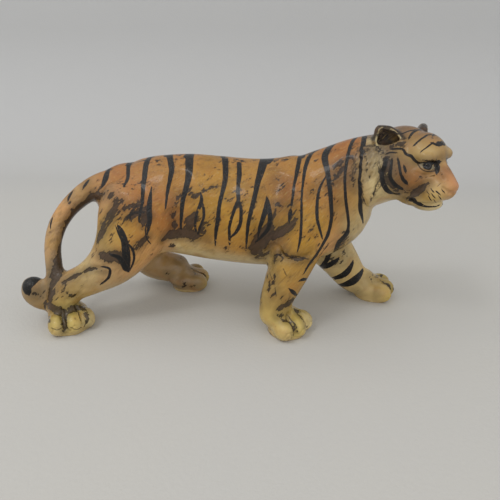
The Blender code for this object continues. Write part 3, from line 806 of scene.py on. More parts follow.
        "legDash2": [(21.7, -22.6, 30, 0.38), (22.9, -23.3, 27.5, 0.57)],
        "legDash3": [(18.9, -23.4, 21.8, 0.38), (19.3, -24, 19.1, 0.62)],
        "legDash4": [(32.9, -19.5, 31.6, 0.46), (30.3, -21.2, 29.7, 0.61)],
        "hockLoop": [(-48, -24.6, 28.3, 0.73), (-45.1, -24.5, 27.7, 0.97), (-46, -24.5, 23.8, 1.06),
            (-49.4, -24.6, 20.9, 0.74)],
        "tailMark1": [(-58.1, -4, 56.5, 1.29), (-59.2, -5, 55.1, 1.29), (-59.9, -5.8, 53.7, 0.43)],
        "tailMark2": [(-64.7, -5.9, 52.3, 1.08), (-65.5, -7.3, 50.6, 1.3), (-65.7, -8.3, 49.2, 0.43)],
        "tailMark3": [(-71.7, -11.6, 43, 0.87), (-72.1, -12.7, 41.2, 1.09), (-72, -13.8, 39.5, 0.43)],
        "tipBlack": [(-77.8, -21.2, 20.5, 3.98), (-79, -23.8, 20.4, 5.27), (-80.1, -25.4, 18.9, 4.83),
            (-79.6, -26.1, 17.1, 3.51)],
        "clawH1": [(-67.6, -33.6, 5.3, 0.51), (-65.7, -33.6, 4.5, 0.51), (-64.5, -32.6, 4.8, 0.51)],
        "clawH2": [(-60.9, -31.6, 4.6, 0.51), (-59.3, -31, 3.5, 0.51), (-58.6, -28.1, 2.6, 0.52)],
    },
    # leg marks that are repeated on the other side of the leg, whose middle is at this y
    "otherSides": {"ffA": 15.6, "ffB": 15.6, "ffC": 15.6, "nf1": -18, "nf2": -18, "legDash1": -17, "legDash3": -17},
    "faceStrokes": {
        "F1": [(64.8, -9.1, 76.7, 0.84), (66.4, -6.9, 78.3, 0.93), (68.6, -4.5, 78.8, 0.79), (74, 4.1, 77.5, 0.5)],
        "F2": [(66.2, -12.4, 74.9, 0.76), (69.6, -10.9, 77.5, 0.92), (70.9, -9.8, 78, 0.85),
            (73.9, -8.9, 77.7, 0.54)],
        "F3": [(68, -15.6, 73.3, 0.52), (72, -13.3, 75.9, 0.68)],
        "F3b": [(72, -13.3, 75.9, 0.83), (74, -13.2, 75.2, 1.29), (76, -10.9, 75.7, 1.54)],
        "browLine": [(58.8, -11.6, 73.2, 0.91), (62.3, -11.7, 73.3, 0.91), (63.6, -12.8, 71.8, 0.98),
            (65.4, -13.8, 71.2, 1.13), (66.8, -14.7, 69.8, 1.13), (68.6, -15, 69.2, 0.9)],
        "lid": [(66.6, -14.6, 69.9, 0.6), (68.3, -14.8, 69.1, 1.13), (70.2, -15.7, 69.3, 1.58),
            (72.4, -15.1, 69.4, 1.66), (74.5, -15, 69.7, 1.75)],
        "browShort": [(56.6, -12.5, 71.6, 0.53), (58.4, -12.4, 72.2, 0.75), (60.1, -12.7, 72.1, 0.53)],
        "lidLow": [(67.8, -14.6, 68.6, 0.45), (69, -16, 67.2, 0.49), (71.5, -16.1, 66.5, 0.49),
            (74, -15.5, 66.8, 0.68)],
        "C1": [(56.8, -13.6, 69.7, 1.5), (56.4, -14.4, 67.7, 1.64), (55.8, -14.4, 64.8, 1.8),
            (56.5, -14.6, 61.6, 1.88), (58.3, -13.9, 58.8, 1.82), (60.4, -13, 57.5, 1.68), (62.8, -13.4, 57.3, 1.07)],
        "C2": [(58.8, -13.9, 69.8, 0.82), (58.6, -14.8, 67.5, 1.12), (58.4, -15.4, 64.6, 1.34),
            (59.4, -15.4, 62.6, 1.5), (61.3, -15.1, 60.7, 1.51), (63.4, -14.4, 59.5, 1.14)],
        "C3": [(60.8, -13.8, 70.2, 0.75), (61.5, -14.9, 67.6, 0.97), (62, -15.3, 65.6, 1.05),
            (63.1, -15.2, 63.4, 1.2), (64.5, -15.2, 62, 1.36)],
        "spotC": [(63.2, -14.7, 67.6, 0.98), (63.7, -14.9, 66.2, 1.13)],
        "mouth": [(66.9, -14.5, 55.5, 1.38), (67.7, -15.6, 55.8, 2.22), (69.4, -15.6, 54.8, 1.69),
            (71.5, -15.9, 53.8, 0.92), (74.2, -16.5, 53.8, 0.58), (76.8, -15.9, 54.3, 0.35)],
        "whisk1": [(72, -19, 58.3, 0.41), (72.8, -19.2, 57.1, 0.41)],
        "whisk2": [(72.7, -19.5, 59.4, 0.41), (73.7, -19.8, 58.3, 0.41)],
        "whisk3": [(74.1, -19.6, 60.4, 0.41), (75.2, -20, 59.5, 0.41)],
        "whisk4": [(73.7, -19.6, 57.3, 0.38), (74.8, -18.7, 56.1, 0.38)],
        "whisk5": [(75.8, -19.7, 61, 0.38), (76.6, -19.9, 60.2, 0.38)],
        "whisk6": [(71.2, -18.3, 59.9, 0.38), (71.9, -19, 59.2, 0.38)],
        "whisk7": [(72.5, -18.8, 60.8, 0.38), (73.1, -19.5, 60.2, 0.37)],
        "whisk8": [(75.1, -20, 58.7, 0.38), (76, -19.6, 57.7, 0.38)],
        "innerEye": [(73.7, -14.9, 69.7, 1.14), (74.1, -14.8, 68.4, 2.05), (74.3, -15.5, 67.2, 1.9),
            (74.2, -16.1, 65.7, 0.57)],
    },
    "tones": {"elbow1": 0.8, "elbow2": 0.8, "legDash1": 0.6, "legDash2": 0.6, "legDash3": 0.7, "legDash4": 0.6,
        "lidLow": 0.8, "scribB": 0.85, "scribC": 0.8, "whisk4": 0.8, "whisk6": 0.8, "clawH1": 0.6, "clawH2": 0.6},
    # short hairs painted on the ruff, by places in the head's frame
    "ruffHairs": {
        "backs": (4, 30, 4),
        "heights": (26, -16, -4),
        "out": 40.0,
        "jitter": (-2, 2),
        "lean": (-1.2, 0.5),
        "drop": (-2.2, -1.0),
        "rootWidth": 0.2,
        "width": (0.4, 0.95),
        "tipWidth": 0.1,
        "tone": (0.35, 0.8),
    },
    "toeGapWidths": (0.15, 0.55, 0.7, 0.3),
    "toeGapTone": 0.85,
    # brown washes: rows and strength
    "bodyWashes": {
        "shoulderA": ([(11.4, -16.8, 34.9, 5.4), (13.7, -17.3, 39.8, 5.7), (16.3, -17.6, 44, 3.8)], 0.95),
        "shoulderB": ([(13.7, -17.3, 39.8, 4.6), (18.6, -18.5, 42.5, 3.8), (23, -19.4, 45.3, 3),
            (25.8, -19, 48.4, 1.5)], 0.9),
        "shoulderC": ([(11.6, -15, 30.7, 2.4), (15.6, -16.3, 33.2, 1.2)], 0.9),
        "shoulderUp": ([(17.9, -15.2, 52.7, 1.5), (20.9, -16.6, 52.5, 1.9), (24.2, -17.4, 53.2, 1.5)], 0.72),
        "shoulderUpB": ([(17, -17.4, 46.4, 1.5), (18, -16.9, 49.4, 1.5), (18.2, -15.5, 52.4, 1.5)], 0.72),
        "shoulderUpC": ([(22.2, -19.1, 45.6, 1.5), (24, -18.7, 48.6, 1.9), (25.7, -18.1, 51.6, 1.1)], 0.62),
        "shoulderMid": ([(17.4, -9.2, 61.8, 1.1), (19.8, -11, 59.2, 1.9), (22.9, -15, 57.4, 1.9),
            (25.9, -16.9, 55.4, 1.1)], 0.42),
        "shoulderMidB": ([(19.1, -12.4, 57.3, 0.9), (21.3, -12.2, 58.9, 1.1), (23.1, -11.5, 61, 0.8)], 0.5),
        "shoulderTop": ([(16.6, -7.9, 63.4, 1.9), (19.7, -10, 60.9, 1.9)], 0.3),
        "shoulderBack": ([(24.5, -16.7, 55.3, 2.2), (21.3, -16.8, 52.2, 2.2), (18, -16.9, 49.4, 1.5)], 0.45),
        "flankLow": ([(-25.5, -16.4, 37.1, 1.6), (-21.9, -15.7, 39.1, 3.6), (-16.9, -16.7, 40.4, 3.9),
            (-12.2, -17, 39.5, 2.7)], 0.9),
        "flankMid": ([(-20.1, -16.1, 41.3, 2.7), (-20.6, -16.1, 46.3, 2.3), (-20.1, -15.2, 50.8, 2.3),
            (-18.4, -13.5, 54.7, 1.9)], 0.74),
        "flankMidB": ([(-16.9, -16.7, 40.9, 2.7), (-14.2, -17.1, 45.2, 3.5), (-11.9, -16.8, 47.2, 3.1),
            (-10.3, -16.6, 48.4, 1.9)], 0.74),
        "flankMidC": ([(-19.9, -16, 45.8, 1.9), (-16.7, -16.2, 46.8, 1.5), (-13.1, -17, 46.4, 1.5)], 0.5),
        "flankUp": ([(-19.9, -13.8, 54.3, 1.9), (-15.6, -13.5, 55.5, 3.1), (-11.6, -14.7, 54.4, 1.9)], 0.5),
        "flankRight": ([(-8.8, -17.1, 45.4, 1.9), (-9.3, -17.2, 42.2, 1.9), (-8.3, -17, 38.8, 1.5)], 0.7),
        "flankRightUp": ([(-10.5, -14.1, 55.5, 1.1), (-8.1, -15.6, 51.7, 1.1), (-7.7, -16.6, 48.4, 0.8)], 0.42),
        "flankFar": ([(-12, -14.2, 55.4, 1.9), (-7.9, -13.3, 56.8, 1.9), (-3.5, -12.4, 58.3, 1.1)], 0.38),
        "flankWisp": ([(-5.1, -15.3, 52.5, 1.5), (-3.1, -16.7, 48.2, 1.5), (-1.9, -17.5, 43.4, 1.1)], 0.25),
        "flankFront": ([(0.5, -14, 55.7, 0.9), (3.8, -13.5, 57.2, 1.1), (7.2, -12.7, 58.6, 0.8)], 0.5),
        "flankBehind": ([(-6.1, -13.2, 56.9, 1.1), (-2.7, -12.3, 58.3, 1.1), (0.2, -11.3, 59.6, 0.8)], 0.45),
        "flankLowB": ([(-7.4, -17.3, 43.1, 0.9), (-5.4, -17.1, 45.5, 1.1), (-3.5, -16.7, 47.8, 0.8)], 0.5),
        "flankLowC": ([(-8.3, -17, 38.8, 0.8), (-6.3, -17.3, 41.1, 1.2), (-4.6, -17.3, 43.2, 0.8)], 0.45),
        "backSpotA": ([(-8.9, -3.4, 66.4, 1.2), (-6.9, -1.4, 66.7, 1.6), (-3.9, -3.4, 66.1, 1.2)], 0.42),
        "backSpotB": ([(-9.4, -7.7, 63.9, 0.8), (-6.9, -6.8, 64.5, 0.8)], 0.38),
        "backSpotC": ([(-0.6, -7.7, 63.3, 0.8), (2.3, -6.4, 64.2, 0.6)], 0.34),
        "flankVeinA": ([(4.9, -16.5, 53.1, 0.7), (7.5, -16.2, 54.3, 1), (10, -15.6, 55.3, 0.7)], 0.46),
        "flankVeinB": ([(-2.1, -14.4, 54.6, 0.8), (0.6, -15.4, 53.4, 0.9), (2.7, -16.7, 51.6, 0.7)], 0.42),
        "flankVeinC": ([(9.2, -18.8, 46.6, 0.6), (10.7, -18.4, 44.1, 0.7), (11.4, -17.8, 40.7, 0.6)], 0.42),
        "neckVeinA": ([(36.8, -11.3, 65.1, 1.1), (38.9, -11.4, 65.9, 1.7), (41.1, -10.7, 67.2, 1.5),
            (43.1, -10.3, 68.7, 1.1)], 0.68),
        "neckVeinB": ([(37, -14.1, 59.4, 0.9), (39.1, -13.5, 61.6, 1.5), (40.8, -12.6, 63.6, 1.9),
            (42.2, -11.5, 66, 1.5)], 0.66),
        "neckVeinC": ([(29.9, -16.4, 56.5, 0.9), (31.6, -14.5, 58.7, 1.1), (33.7, -13.1, 60.6, 0.7)], 0.6),
        "neckVeinD": ([(44.7, -13, 63.5, 1.9), (46.2, -14.2, 61.6, 2.2), (46, -14.5, 59.4, 1.1)], 0.74),
        "neckVeinE": ([(44.8, -10.1, 70.1, 1.1), (46.3, -11.8, 68, 1.4), (47.1, -13.6, 65.1, 1.1)], 0.6),
        "neckVeinF": ([(38.9, -15.4, 51.5, 0.8), (40.7, -14.5, 53.2, 0.9), (42.5, -14.2, 54.3, 0.6)], 0.5),
        "neckVeinG": ([(31.5, -19.8, 43.8, 0.6), (33.7, -19, 45.2, 0.7)], 0.45),
        "neckVeinH": ([(44.3, -14.2, 49.3, 0.5), (43.3, -14.4, 47.4, 0.5)], 0.4),
        "buttock": ([(-42.1, -18.3, 51.1, 2.2), (-45.3, -19.8, 45.5, 2.8), (-49.6, -20.1, 38.9, 2.8)], 0.85),
        "rumpPatch": ([(-47.3, -13.4, 55.8, 2.4), (-44, -16.5, 54.1, 2.8), (-40.1, -17.8, 53, 2)], 0.55),
        "rumpStreak": ([(-38.9, -18.7, 51, 1.6), (-35.4, -18.5, 51.4, 1.9), (-32.5, -17.5, 52.7, 1.9)], 0.6),
        "rumpScrib": ([(-37.6, -20.1, 47.1, 1.6), (-35, -19.4, 48.6, 2.7), (-32.1, -18.6, 49.6, 3.1),
            (-29.9, -18.6, 47.6, 2.3)], 0.78),
        "rumpScribB": ([(-32.8, -18, 51.7, 1.6), (-32.4, -19, 48.5, 1.9), (-31.8, -19.8, 44.8, 1.9)], 0.7),
        "link": ([(-35.8, -22.2, 34.9, 1.2), (-32.8, -21.1, 37.5, 1.3), (-29.8, -19.8, 40, 1)], 0.8),
        "hipBlotch": ([(-48.3, -23.3, 32.8, 2.4), (-45, -23.8, 32.7, 3.2), (-41.9, -23.7, 32.4, 3.6),
            (-39.5, -23.3, 30.2, 2.8)], 0.9),
        "thighThin": ([(-47.6, -21.2, 39.1, 0.8), (-47, -23, 34.8, 1), (-47.1, -24.2, 30.3, 0.6)], 0.6),
        "elbowShade": ([(18.1, -20.3, 31.3, 1.3), (19.2, -20.6, 34, 1.5), (21.5, -21.4, 35.2, 1.5),
            (24.2, -22.1, 34, 1.5), (27.5, -22.1, 33.7, 1.5), (30.5, -21.2, 33.5, 1.1)], 0.9),
        "elbowFork": ([(26.4, -22.1, 34.1, 1.1), (28.9, -21.5, 36, 0.9), (31.4, -20.6, 37.3, 0.5)], 0.5),
        "chestShade": ([(44.2, -14.1, 41.2, 3.1), (43.6, -12.4, 36.4, 3.9), (42.7, 7.7, 23.7, 3.5),
            (39.2, 9.2, 18.1, 1.8)], 0.62),
        "chestInner": ([(45.6, -12.7, 39.1, 2), (47, 9, 24.7, 3.1), (43.4, 8.3, 19.1, 2.2)], 0.6),
        "ruffD": ([(47, -13.3, 65.8, 1.9), (47.3, -14.6, 61.4, 2.2)], 0.3),
        "ruffE": ([(45.2, -11, 68.9, 1.5), (46.1, -13.3, 64.3, 1.5)], 0.3),
        "neckTop": ([(26.6, 3.3, 67, 1.2), (29.7, 2.4, 68.2, 1.2)], 0.25),
        "chestFold": ([(48, -13.1, 45.8, 1.5), (46.1, -13.5, 41.9, 1.6)], 0.3),
    },
    "headWashes": {
        "muzzlePatch": ([(71.5, -17.2, 62.5, 1.5), (69.6, -16.7, 60.5, 2.4), (67.9, -15.6, 58.3, 2.4),
            (66, -14.4, 56.2, 1.5)], 0.9),
        "underEye": ([(73.3, -16.6, 65.1, 0.9), (71.4, -16.4, 64.5, 1.1), (68.9, -16.6, 64.4, 0.8)], 0.46),
        "underEyeB": ([(74.5, -17.7, 64.2, 0.9), (72.3, -17.2, 63.6, 0.8)], 0.46),
        "bridgeSide": ([(77.5, -12.7, 71, 0.8), (79.7, -8.2, 67.9, 1), (78.5, -15.8, 67.1, 0.6)], 0.8),
        # socket: painted shade under the brow, round the eye
        "socket": ([(66.9, -14.8, 69.5, 1.1), (69.7, -16.9, 70.6, 1.3), (74.4, -15, 69.3, 1.1)], 0.66),
        "cheekShade": ([(60.9, -15.4, 64.5, 1.9), (63.9, -14.7, 60.7, 2.3), (66.7, -14.9, 58.2, 1.9)], 0.3),
        "cheekLow": ([(63.7, -14.5, 59.9, 1.9), (65.7, -14.4, 58, 1.9), (67.4, -15.6, 57, 1.5)], 0.6),
        "templeShade": ([(61.5, -13.3, 71.2, 0.8), (64.4, -13.8, 69.9, 1.1), (66.4, -14.4, 69, 1.1)], 0.4),
        "ruffA": ([(55.8, -11.8, 72.1, 2.3), (53.8, -13.6, 68.6, 1.5), (51.5, -14.6, 65.5, 1.5)], 0.55),
        "ruffB": ([(54.3, -14.5, 65.5, 0.9), (55.6, -14.8, 62.4, 1), (57.9, -14.1, 59.2, 1.1)], 0.5),
        "ruffC": ([(49.7, -9.8, 72.3, 1.9), (50, -13, 68.7, 1.9), (51.1, -14.5, 65.5, 1.5)], 0.62),
        "ruffF": ([(52.8, -9.3, 73.7, 1.5), (54.8, -11.3, 72.4, 1.9), (56.4, -12.6, 71.3, 1.5)], 0.55),
        "earHollow": ([(54.2, -7.1, 76.9, 1.9), (56.2, -6.2, 75.7, 3.1), (58.3, -6, 76.4, 2.3)], 0.5),
        "earBase": ([(58.8, -11, 73.8, 2.3), (61, -9.9, 75, 1.9)], 0.6),
        "templeA": ([(62, -7, 76.7, 1.2), (62.7, -9.8, 75.4, 1.5), (61.6, -11.1, 73.9, 1.5)], 0.4),
        "templeB": ([(63.1, -3.3, 79.3, 0.8), (64.6, -2.7, 79.5, 0.8)], 0.3),
        "farEar": ([(72.2, 6.8, 78.9, 2.1), (74.5, 7, 78.9, 2.1)], 0.75),
        "jawUnder": ([(62.1, -10.9, 54.6, 0.8), (65.6, -12.3, 54, 0.9), (67.2, -14.8, 54.1, 0.8)], 0.35),
        "cheekFill": ([(57.4, -13.4, 70.4, 1.9), (57.4, -14.7, 67.5, 2.2), (57.6, -15, 63.6, 2.2),
            (59.7, -15, 60.7, 2.3), (62.5, -14.1, 58.6, 1.5)], 0.86),
        "cheekFillB": ([(60.2, -13.7, 70.5, 0.7), (59.7, -14.8, 67.9, 0.9), (60.1, -15.3, 65.5, 0.7)], 0.6),
        "tear": ([(75.5, -16.5, 66.4, 0.8), (76, -17.2, 65.5, 0.6)], 0.75),
        "chinUnder": ([(67.7, -14.5, 53.6, 0.8), (71.4, -12.7, 51.7, 0.9), (74.7, -13.3, 51.6, 0.8)], 0.35),
    },
    "limbWashes": {
        "buttockLow": ([(-49.6, -19.9, 39.3, 2), (-49.9, -21.4, 35.7, 1.6)], 0.55),
        "hockLine": ([(-47.3, -24.8, 26.5, 0.8), (-52.2, -24.4, 27.2, 1.2), (-59, -24.3, 23.8, 1.5),
            (-65.2, -24.8, 20.7, 1.4)], 0.9),
        "hockSmear": ([(-67.3, -26.6, 15.3, 1.7), (-64.6, -25.9, 18.6, 1.9), (-61.6, -25.6, 20.4, 1.7),
            (-57.4, -25.2, 22.6, 1)], 0.5),
        "hockSpotA": ([(-63.4, -26.2, 17.5, 1.7), (-61.5, -25.7, 15.1, 2.1), (-59.4, -25.5, 16.4, 1.3)], 0.62),
        "hockSpotB": ([(-57.5, -25.6, 20.6, 1.2), (-53.4, -25.4, 21.1, 1.2), (-49.7, -25, 22.8, 0.8)], 0.35),
        "hockSpotC": ([(-67.7, -26.9, 14, 2.1), (-65.2, -26.6, 14.9, 2.1)], 0.5),
        "hindInstep": ([(-71.4, -26.5, 10.9, 2.6), (-68, -27.7, 10.4, 3), (-65.1, -27.3, 8.9, 3),
            (-62.5, -25.5, 9.4, 2.6), (-60.1, -21.5, 8.6, 1.7)], 0.92),
        "hindToeWedge": ([(-64.9, -27.3, 8.9, 3.5), (-64.1, -29.7, 6.7, 2.3), (-63.9, -31.4, 3.2, 1.1)], 0.95),
        "hindToeSide": ([(-58.9, -22.5, 8.3, 1.7), (-56.5, -26, 6.3, 1.5), (-56.8, -26.2, 1.7, 0.9)], 0.75),
        "hindHeel": ([(-73.1, -25.3, 11.5, 1.8), (-73.7, -24.9, 6.6, 1.5), (-68.8, -32.3, 6.7, 1.3)], 0.55),
        "foreInstep": ([(20.6, -24.5, 13.3, 1.8), (22.9, -23.6, 14.3, 2.9), (25.5, -21.7, 15.5, 2.9)], 0.7),
        "foreInstepLow": ([(20.7, -24.8, 10.3, 2.2), (22.7, -24.3, 9.3, 3), (25.1, -24.1, 7, 1.8)], 0.82),
        "foreToeWedge": ([(23.4, -23.4, 9.7, 2.4), (25.1, -24.7, 6.9, 1.4), (26.8, -25.9, 4.1, 0.8)], 0.85),
        "foreToeTwo": ([(27.3, -17.1, 8.4, 1.9), (29.3, -21.1, 7.7, 1), (31, -23.8, 5.8, 0.6)], 0.8),
        "foreToeThree": ([(31, -17, 8.1, 0.8), (33, -18.9, 6.1, 0.5)], 0.6),
        "foreTop": ([(24.4, -22.9, 16.1, 1.2), (25.1, -22.8, 17.9, 0.8)], 0.4),
        "legSpotA": ([(17.9, -21.2, 28.3, 0.8), (18.7, -22.4, 26, 1.4), (18, -22.7, 23.5, 0.9)], 0.66),
        "legSpotB": ([(15.9, -20.1, 25.1, 0.8), (16.9, -22.1, 22.7, 1), (16.1, -22.3, 20.2, 0.6)], 0.6),
        "legSpotC": ([(17.4, -23.8, 17.2, 0.8), (18.9, -23.8, 19.9, 1.2), (19.6, -23.7, 21.6, 0.8)], 0.72),
        "legBack": ([(14, -14.9, 30.8, 1.6), (15.2, -15.5, 25, 1.6), (13.6, -17.6, 18.5, 1.6),
            (13.4, -21.4, 12.9, 1.2)], 0.6),
        "legSpotD": ([(15.5, -22.9, 16.1, 0.8), (16.3, -23.8, 14.5, 0.8)], 0.5),
        "legSpotE": ([(20.6, -24.4, 14.6, 0.9), (21.3, -24.2, 17.2, 0.8), (21.6, -24.1, 19.3, 0.5)], 0.6),
        "farShadeTop": ([(46.1, 8.5, 19.1, 2.7), (49.9, 10, 21.5, 2.2)], 0.45),
        "farInstep": ([(60.8, 11.8, 10.3, 3.3), (64.5, 15.2, 9.3, 3.8), (69.1, 21.5, 7.2, 2.4)], 0.55),
        "farToeA": ([(67, 13.1, 7.9, 1.4), (69.7, 12.4, 6.4, 1.1), (71.9, 14.2, 3.1, 0.8)], 0.7),
        "farToeB": ([(70.1, 15.7, 7.2, 1), (71.7, 14.7, 5.3, 0.7)], 0.5),
        "farSpotA": ([(54.3, 9.7, 5.5, 1.1), (55.2, 9.6, 4.6, 0.9)], 0.5),
        "farSpotB": ([(62.8, 6.7, 5, 0.9), (63.6, 6.3, 4.8, 0.7)], 0.4),
        "farHeel": ([(57.5, 10.1, 9.5, 2.3), (59.3, 10.9, 10.2, 1.9)], 0.4),
        "farHindA": ([(-21.9, 15.7, 9.3, 1.9), (-19.9, 12.4, 8.3, 1.9)], 0.45),
        "farHindB": ([(-25.4, 8.9, 6.2, 1.4), (-24, 8.7, 4.8, 1.4)], 0.4),
        "farHindC": ([(-32.7, 10.9, 9, 1.6), (-31, 11, 7.5, 1.4)], 0.4),
        "farHindTop": ([(-28, 14.3, 14.4, 1.9), (-25.3, 20.2, 12.2, 2.4), (-21.5, 23.5, 8.3, 2)], 0.5),
        "farHindSole": ([(-31.6, 12.7, 2.9, 1.4), (-24.6, 9, 3.1, 1.2), (-17.1, 9.3, 4.3, 0.9)], 0.4),
        "tailInnerTop": ([(-48, -14, 54.4, 2), (-56.7, -5.6, 49.9, 2.8), (-61.4, -6.6, 46.3, 3)], 0.95),
        "tailInner": ([(-61.9, -6.8, 45.9, 2.6), (-66.1, -9.5, 40.7, 3.5), (-69.1, -11.5, 33.5, 3.5),
            (-68.7, -16.4, 28.4, 3.5), (-68.7, -20.5, 24.1, 3.5)], 0.95),
        "tailLow": ([(-68.4, -20.4, 24.1, 4.3), (-69.1, -23.9, 19.6, 3.9), (-70.6, -26, 14.3, 3)], 0.85),
        "tailMarks": ([(-58.5, -4.3, 56.2, 1.3), (-59.6, -5.2, 54.7, 1)], 0.6),
        "tailMarksB": ([(-65.3, -6.8, 51.3, 1.5), (-65.8, -7.8, 49.9, 1.1)], 0.55),
        "tipShade": ([(-77.5, -25.8, 16.1, 1.8), (-75.5, -24.5, 14.2, 2.2), (-73.6, -23.5, 16.4, 1.8)], 0.5),
    },
    # ground colours: place and reach; a few patches stand for painted highlights and painted shade, noted at their
    # glazes
    "patches": {
        "rust": [(-45, -3, 60, 9), (-36, -16, 56, 8), (-26, -17, 50, 8), (-20, -16, 47, 7), (23, -13, 60, 7),
            (39, -6, 71, 7), (69, -17, 64, 5), (80, -9, 70, 3), (59, -7, 79, 2.5)],
        "tan": [(-31, -9, 62, 9), (-19, -7, 65, 9), (6, -8, 63, 10), (21, -6, 65, 9), (-5, -17, 37, 6),
            (13, -13, 57, 7), (41, -14, 51, 6), (46, -15, 55, 6), (75, -14, 73, 3)],
        "amber": [(-6, -6, 65, 10), (-33, -20, 43, 7), (5, -18, 39, 7), (-19, -11, 60, 8), (31, -17, 55, 6),
            (33, -10, 65, 7), (76, -19, 64, 4), (78, -18, 65, 4)],
        # sand: the first patch, on the buttock's edge, is a painted highlight
        "sand": [(-44, -16, 55, 7), (-42, -23, 25, 6), (-47, -24, 30, 5), (-52, -24, 18, 6), (-65, -24, 22, 5),
            (-36, 13, 16, 7), (-53, -5, 57, 5), (-63, -7, 51, 5), (-71, -14, 40, 5), (-73, -18, 32, 5)],
        "salmon": [(-26, -14, 57, 9)],
        "gold": [(-40, -22, 42, 8), (-7, -12, 59, 8), (3, -12, 59, 8), (-1, -17, 48, 9), (9, -17, 53, 7),
            (-12, -17, 48, 7), (27, -20, 46, 6), (29, -21, 41, 6), (35, -19, 45, 5)],
        "straw": [(-44, -22, 39, 6), (-60, -26, 18, 6), (19, -21, 30, 5), (16, -22, 20, 5), (16, -24, 12, 5),
            (23, -24, 17, 5), (52, 10, 14, 5), (62, 9, 8, 5), (69, 14, 8, 5), (68, -16, 73, 4.5), (78, -10, 74, 3),
            (74, -19, 61, 5), (72, -19, 58, 4), (77, -20, 59, 4), (67, -15, 55, 4)],
        # peach: the first two patches, on the thigh's lower edge, are the thigh's colour lightened by painted light
        "peach": [(-30, -19, 34, 7), (-34, -20, 28, 6), (39, -16, 39, 5), (-69, -10, 46, 5)],
        "bone": [(-53, -25, 24, 6), (-12, -14, 31, 5), (-2, -12, 28, 5), (-7, -13, 30, 5), (3, -10, 26, 5),
            (8, -12, 27, 5), (-19, -15, 34, 4), (52, -12, 52, 7), (49, -12, 44, 5), (54, -13, 56, 5), (23, -29, 5, 4),
            (17, -24, 5, 4), (-65, -33, 3, 3), (-59, -29, 1, 3), (48, 9, 18, 6), (56, 10, 11, 6), (60, 8, 5, 4),
            (72, -15, 52, 4), (62, -11, 56, 4)],
        "russet": [(18, -12, 57, 7), (20, -20, 38, 5), (40, -13, 64, 7), (45, -12, 65, 6), (67, -4, 79, 5),
            (68, -10, 78, 5), (71, -12, 77, 6), (61, -15, 67, 4), (65, -15, 66, 5), (64, -15, 63, 4),
            (67, -16, 61, 4), (61, -15, 62, 4), (64, -14, 58, 4)],
        # cream: the patches on the toes of the near paws and on the brow are painted highlights
        "cream": [(52, -14, 66, 5), (55, -15, 61, 4), (33, -19, 6, 4), (-55, -26, 5, 4), (71, -17, 72, 5.5),
            (75, -19, 62, 3), (76, -14, 52, 4), (53, -8, 77, 2.5)],
        "ochre": [(23, -23, 27, 6), (25, -23, 21, 6), (28, -22, 29, 6), (21, -24, 15, 5), (-71, -27, 9, 4)],
        "lemon": [(19, -25, 8, 6), (25, -26, 7, 5), (30, -19, 7, 4), (-67, -31, 8, 5), (-60, -29, 7, 6),
            (71, 12, 4, 4)],
        # khaki: the first four patches, on the far hind leg, are its colour darkened by painted shade
        "khaki": [(-34, 11, 11, 9), (-24, 11, 8, 9), (-18, 17, 8, 7), (-18, 10, 7, 5), (-72, -21, 24, 4),
            (-74, -23, 17, 4), (-78, -26, 15, 5), (64, -12, 56, 2.5), (69, -14, 53, 3)],
        "dusk": [(63, -7, 78, 3.5), (59, -7, 79, 3), (57, -15, 66, 3), (51, -12, 71, 3), (50, -14, 66, 3),
            (58, -12, 72, 3)],
        "olive": [(66, -12, 75, 4.5), (70, -14, 75, 3.5), (65, -13, 73, 4), (62, -11, 74, 3.5)],
        "nose": [(79, -18, 64, 4), (81, -19, 62, 4), (80, -15, 66, 3)],
        "smoke": [(57, -6, 76, 4), (74, 6, 79, 3)],
    },
    "unseenPatches": {
        "amber": [(-38, 26, 26, 7), (20, 0, 67, 8)],
        "straw": [(-46, 24, 18, 6), (44, 24, 22, 6), (52, 22, 12, 5), (-62, -14, 16, 6), (-56, -14, 22, 5),
            (46, 12, 50, 7)],
        "ochre": [(-30, 25, 9, 5), (36, 22, 30, 7)],
        "lemon": [(-14, 22, 5, 5), (-14, 14, 4, 4), (68, 20, 4, 5), (70, 12, 4, 4)],
        "bone": [(20, -10, 14, 6), (20, -10, 28, 6), (-48, -8, 24, 7), (-40, 8, 22, 6), (44, 8, 20, 6),
            (-30, 0, 26, 8), (10, 0, 23, 9), (30, 0, 26, 8), (40, 0, 42, 6), (-50, 8, 44, 7)],
        "tan": [(0, 0, 68, 8), (-52, 0, 56, 7), (44, 14, 58, 7)],
        "rust": [(-20, 0, 68, 8), (36, 0, 73, 7)],
        "salmon": [(-38, 0, 66, 8)],
    },
    "patchTail": 1e-3,
    # patches beyond headFrom and headAbove are repeated on the left of the face, those of the trunk on its left
    "headFrom": 52,
    "headAbove": 45,
    "trunkAbove": 26,
    "rightOf": 2,
    # ramps: measure, start, run (falling where it is negative), and the least value where that isn't nought
    "cover": {
        "stain": [("z", 18, 14, 0.45), ("x", 58, -14, 0.62), ("facing", -0.75, 0.4, 0.1)],
        "fur": [("z", 12, 10, 0.3), ("x", 66, -10, 0.42), ("facing", -0.8, 0.4, 0.1)],
        "under": [("facing", -0.45, -0.45), ("z", 46, -10)],
        "sole": [("z", 1.5, -0.8)],
    },
    "paleUnder": 0.7,
    "paleSole": 0.85,
    # the ears' dark edge, back, pale rim, and the upper and lower part of the cup, one over the other
    "earBands": [
        (
            "soot",
            [("around", 1.08, 0.04), ("around", 1.44, -0.12)]
            + [("front", -3.2, 0.4), ("front", 2.2, -0.4), ("up", -1.5, 1)],
        ),
        ("dusk", [("front", -2.8, -0.6), ("front", -7, 1), ("around", 1.7, -0.3), ("up", -2, 2)]),
        (
            "cream",
            [("around", 0.98, 0.04), ("around", 1.1, -0.04)]
            + [("front", -1.4, 0.3), ("front", 2.6, -0.4), ("up", -2, 1)],
        ),
        ("smoke", [("share", 1.05, -0.04), ("around", 0.99, -0.03), ("up", -8, 1)]),
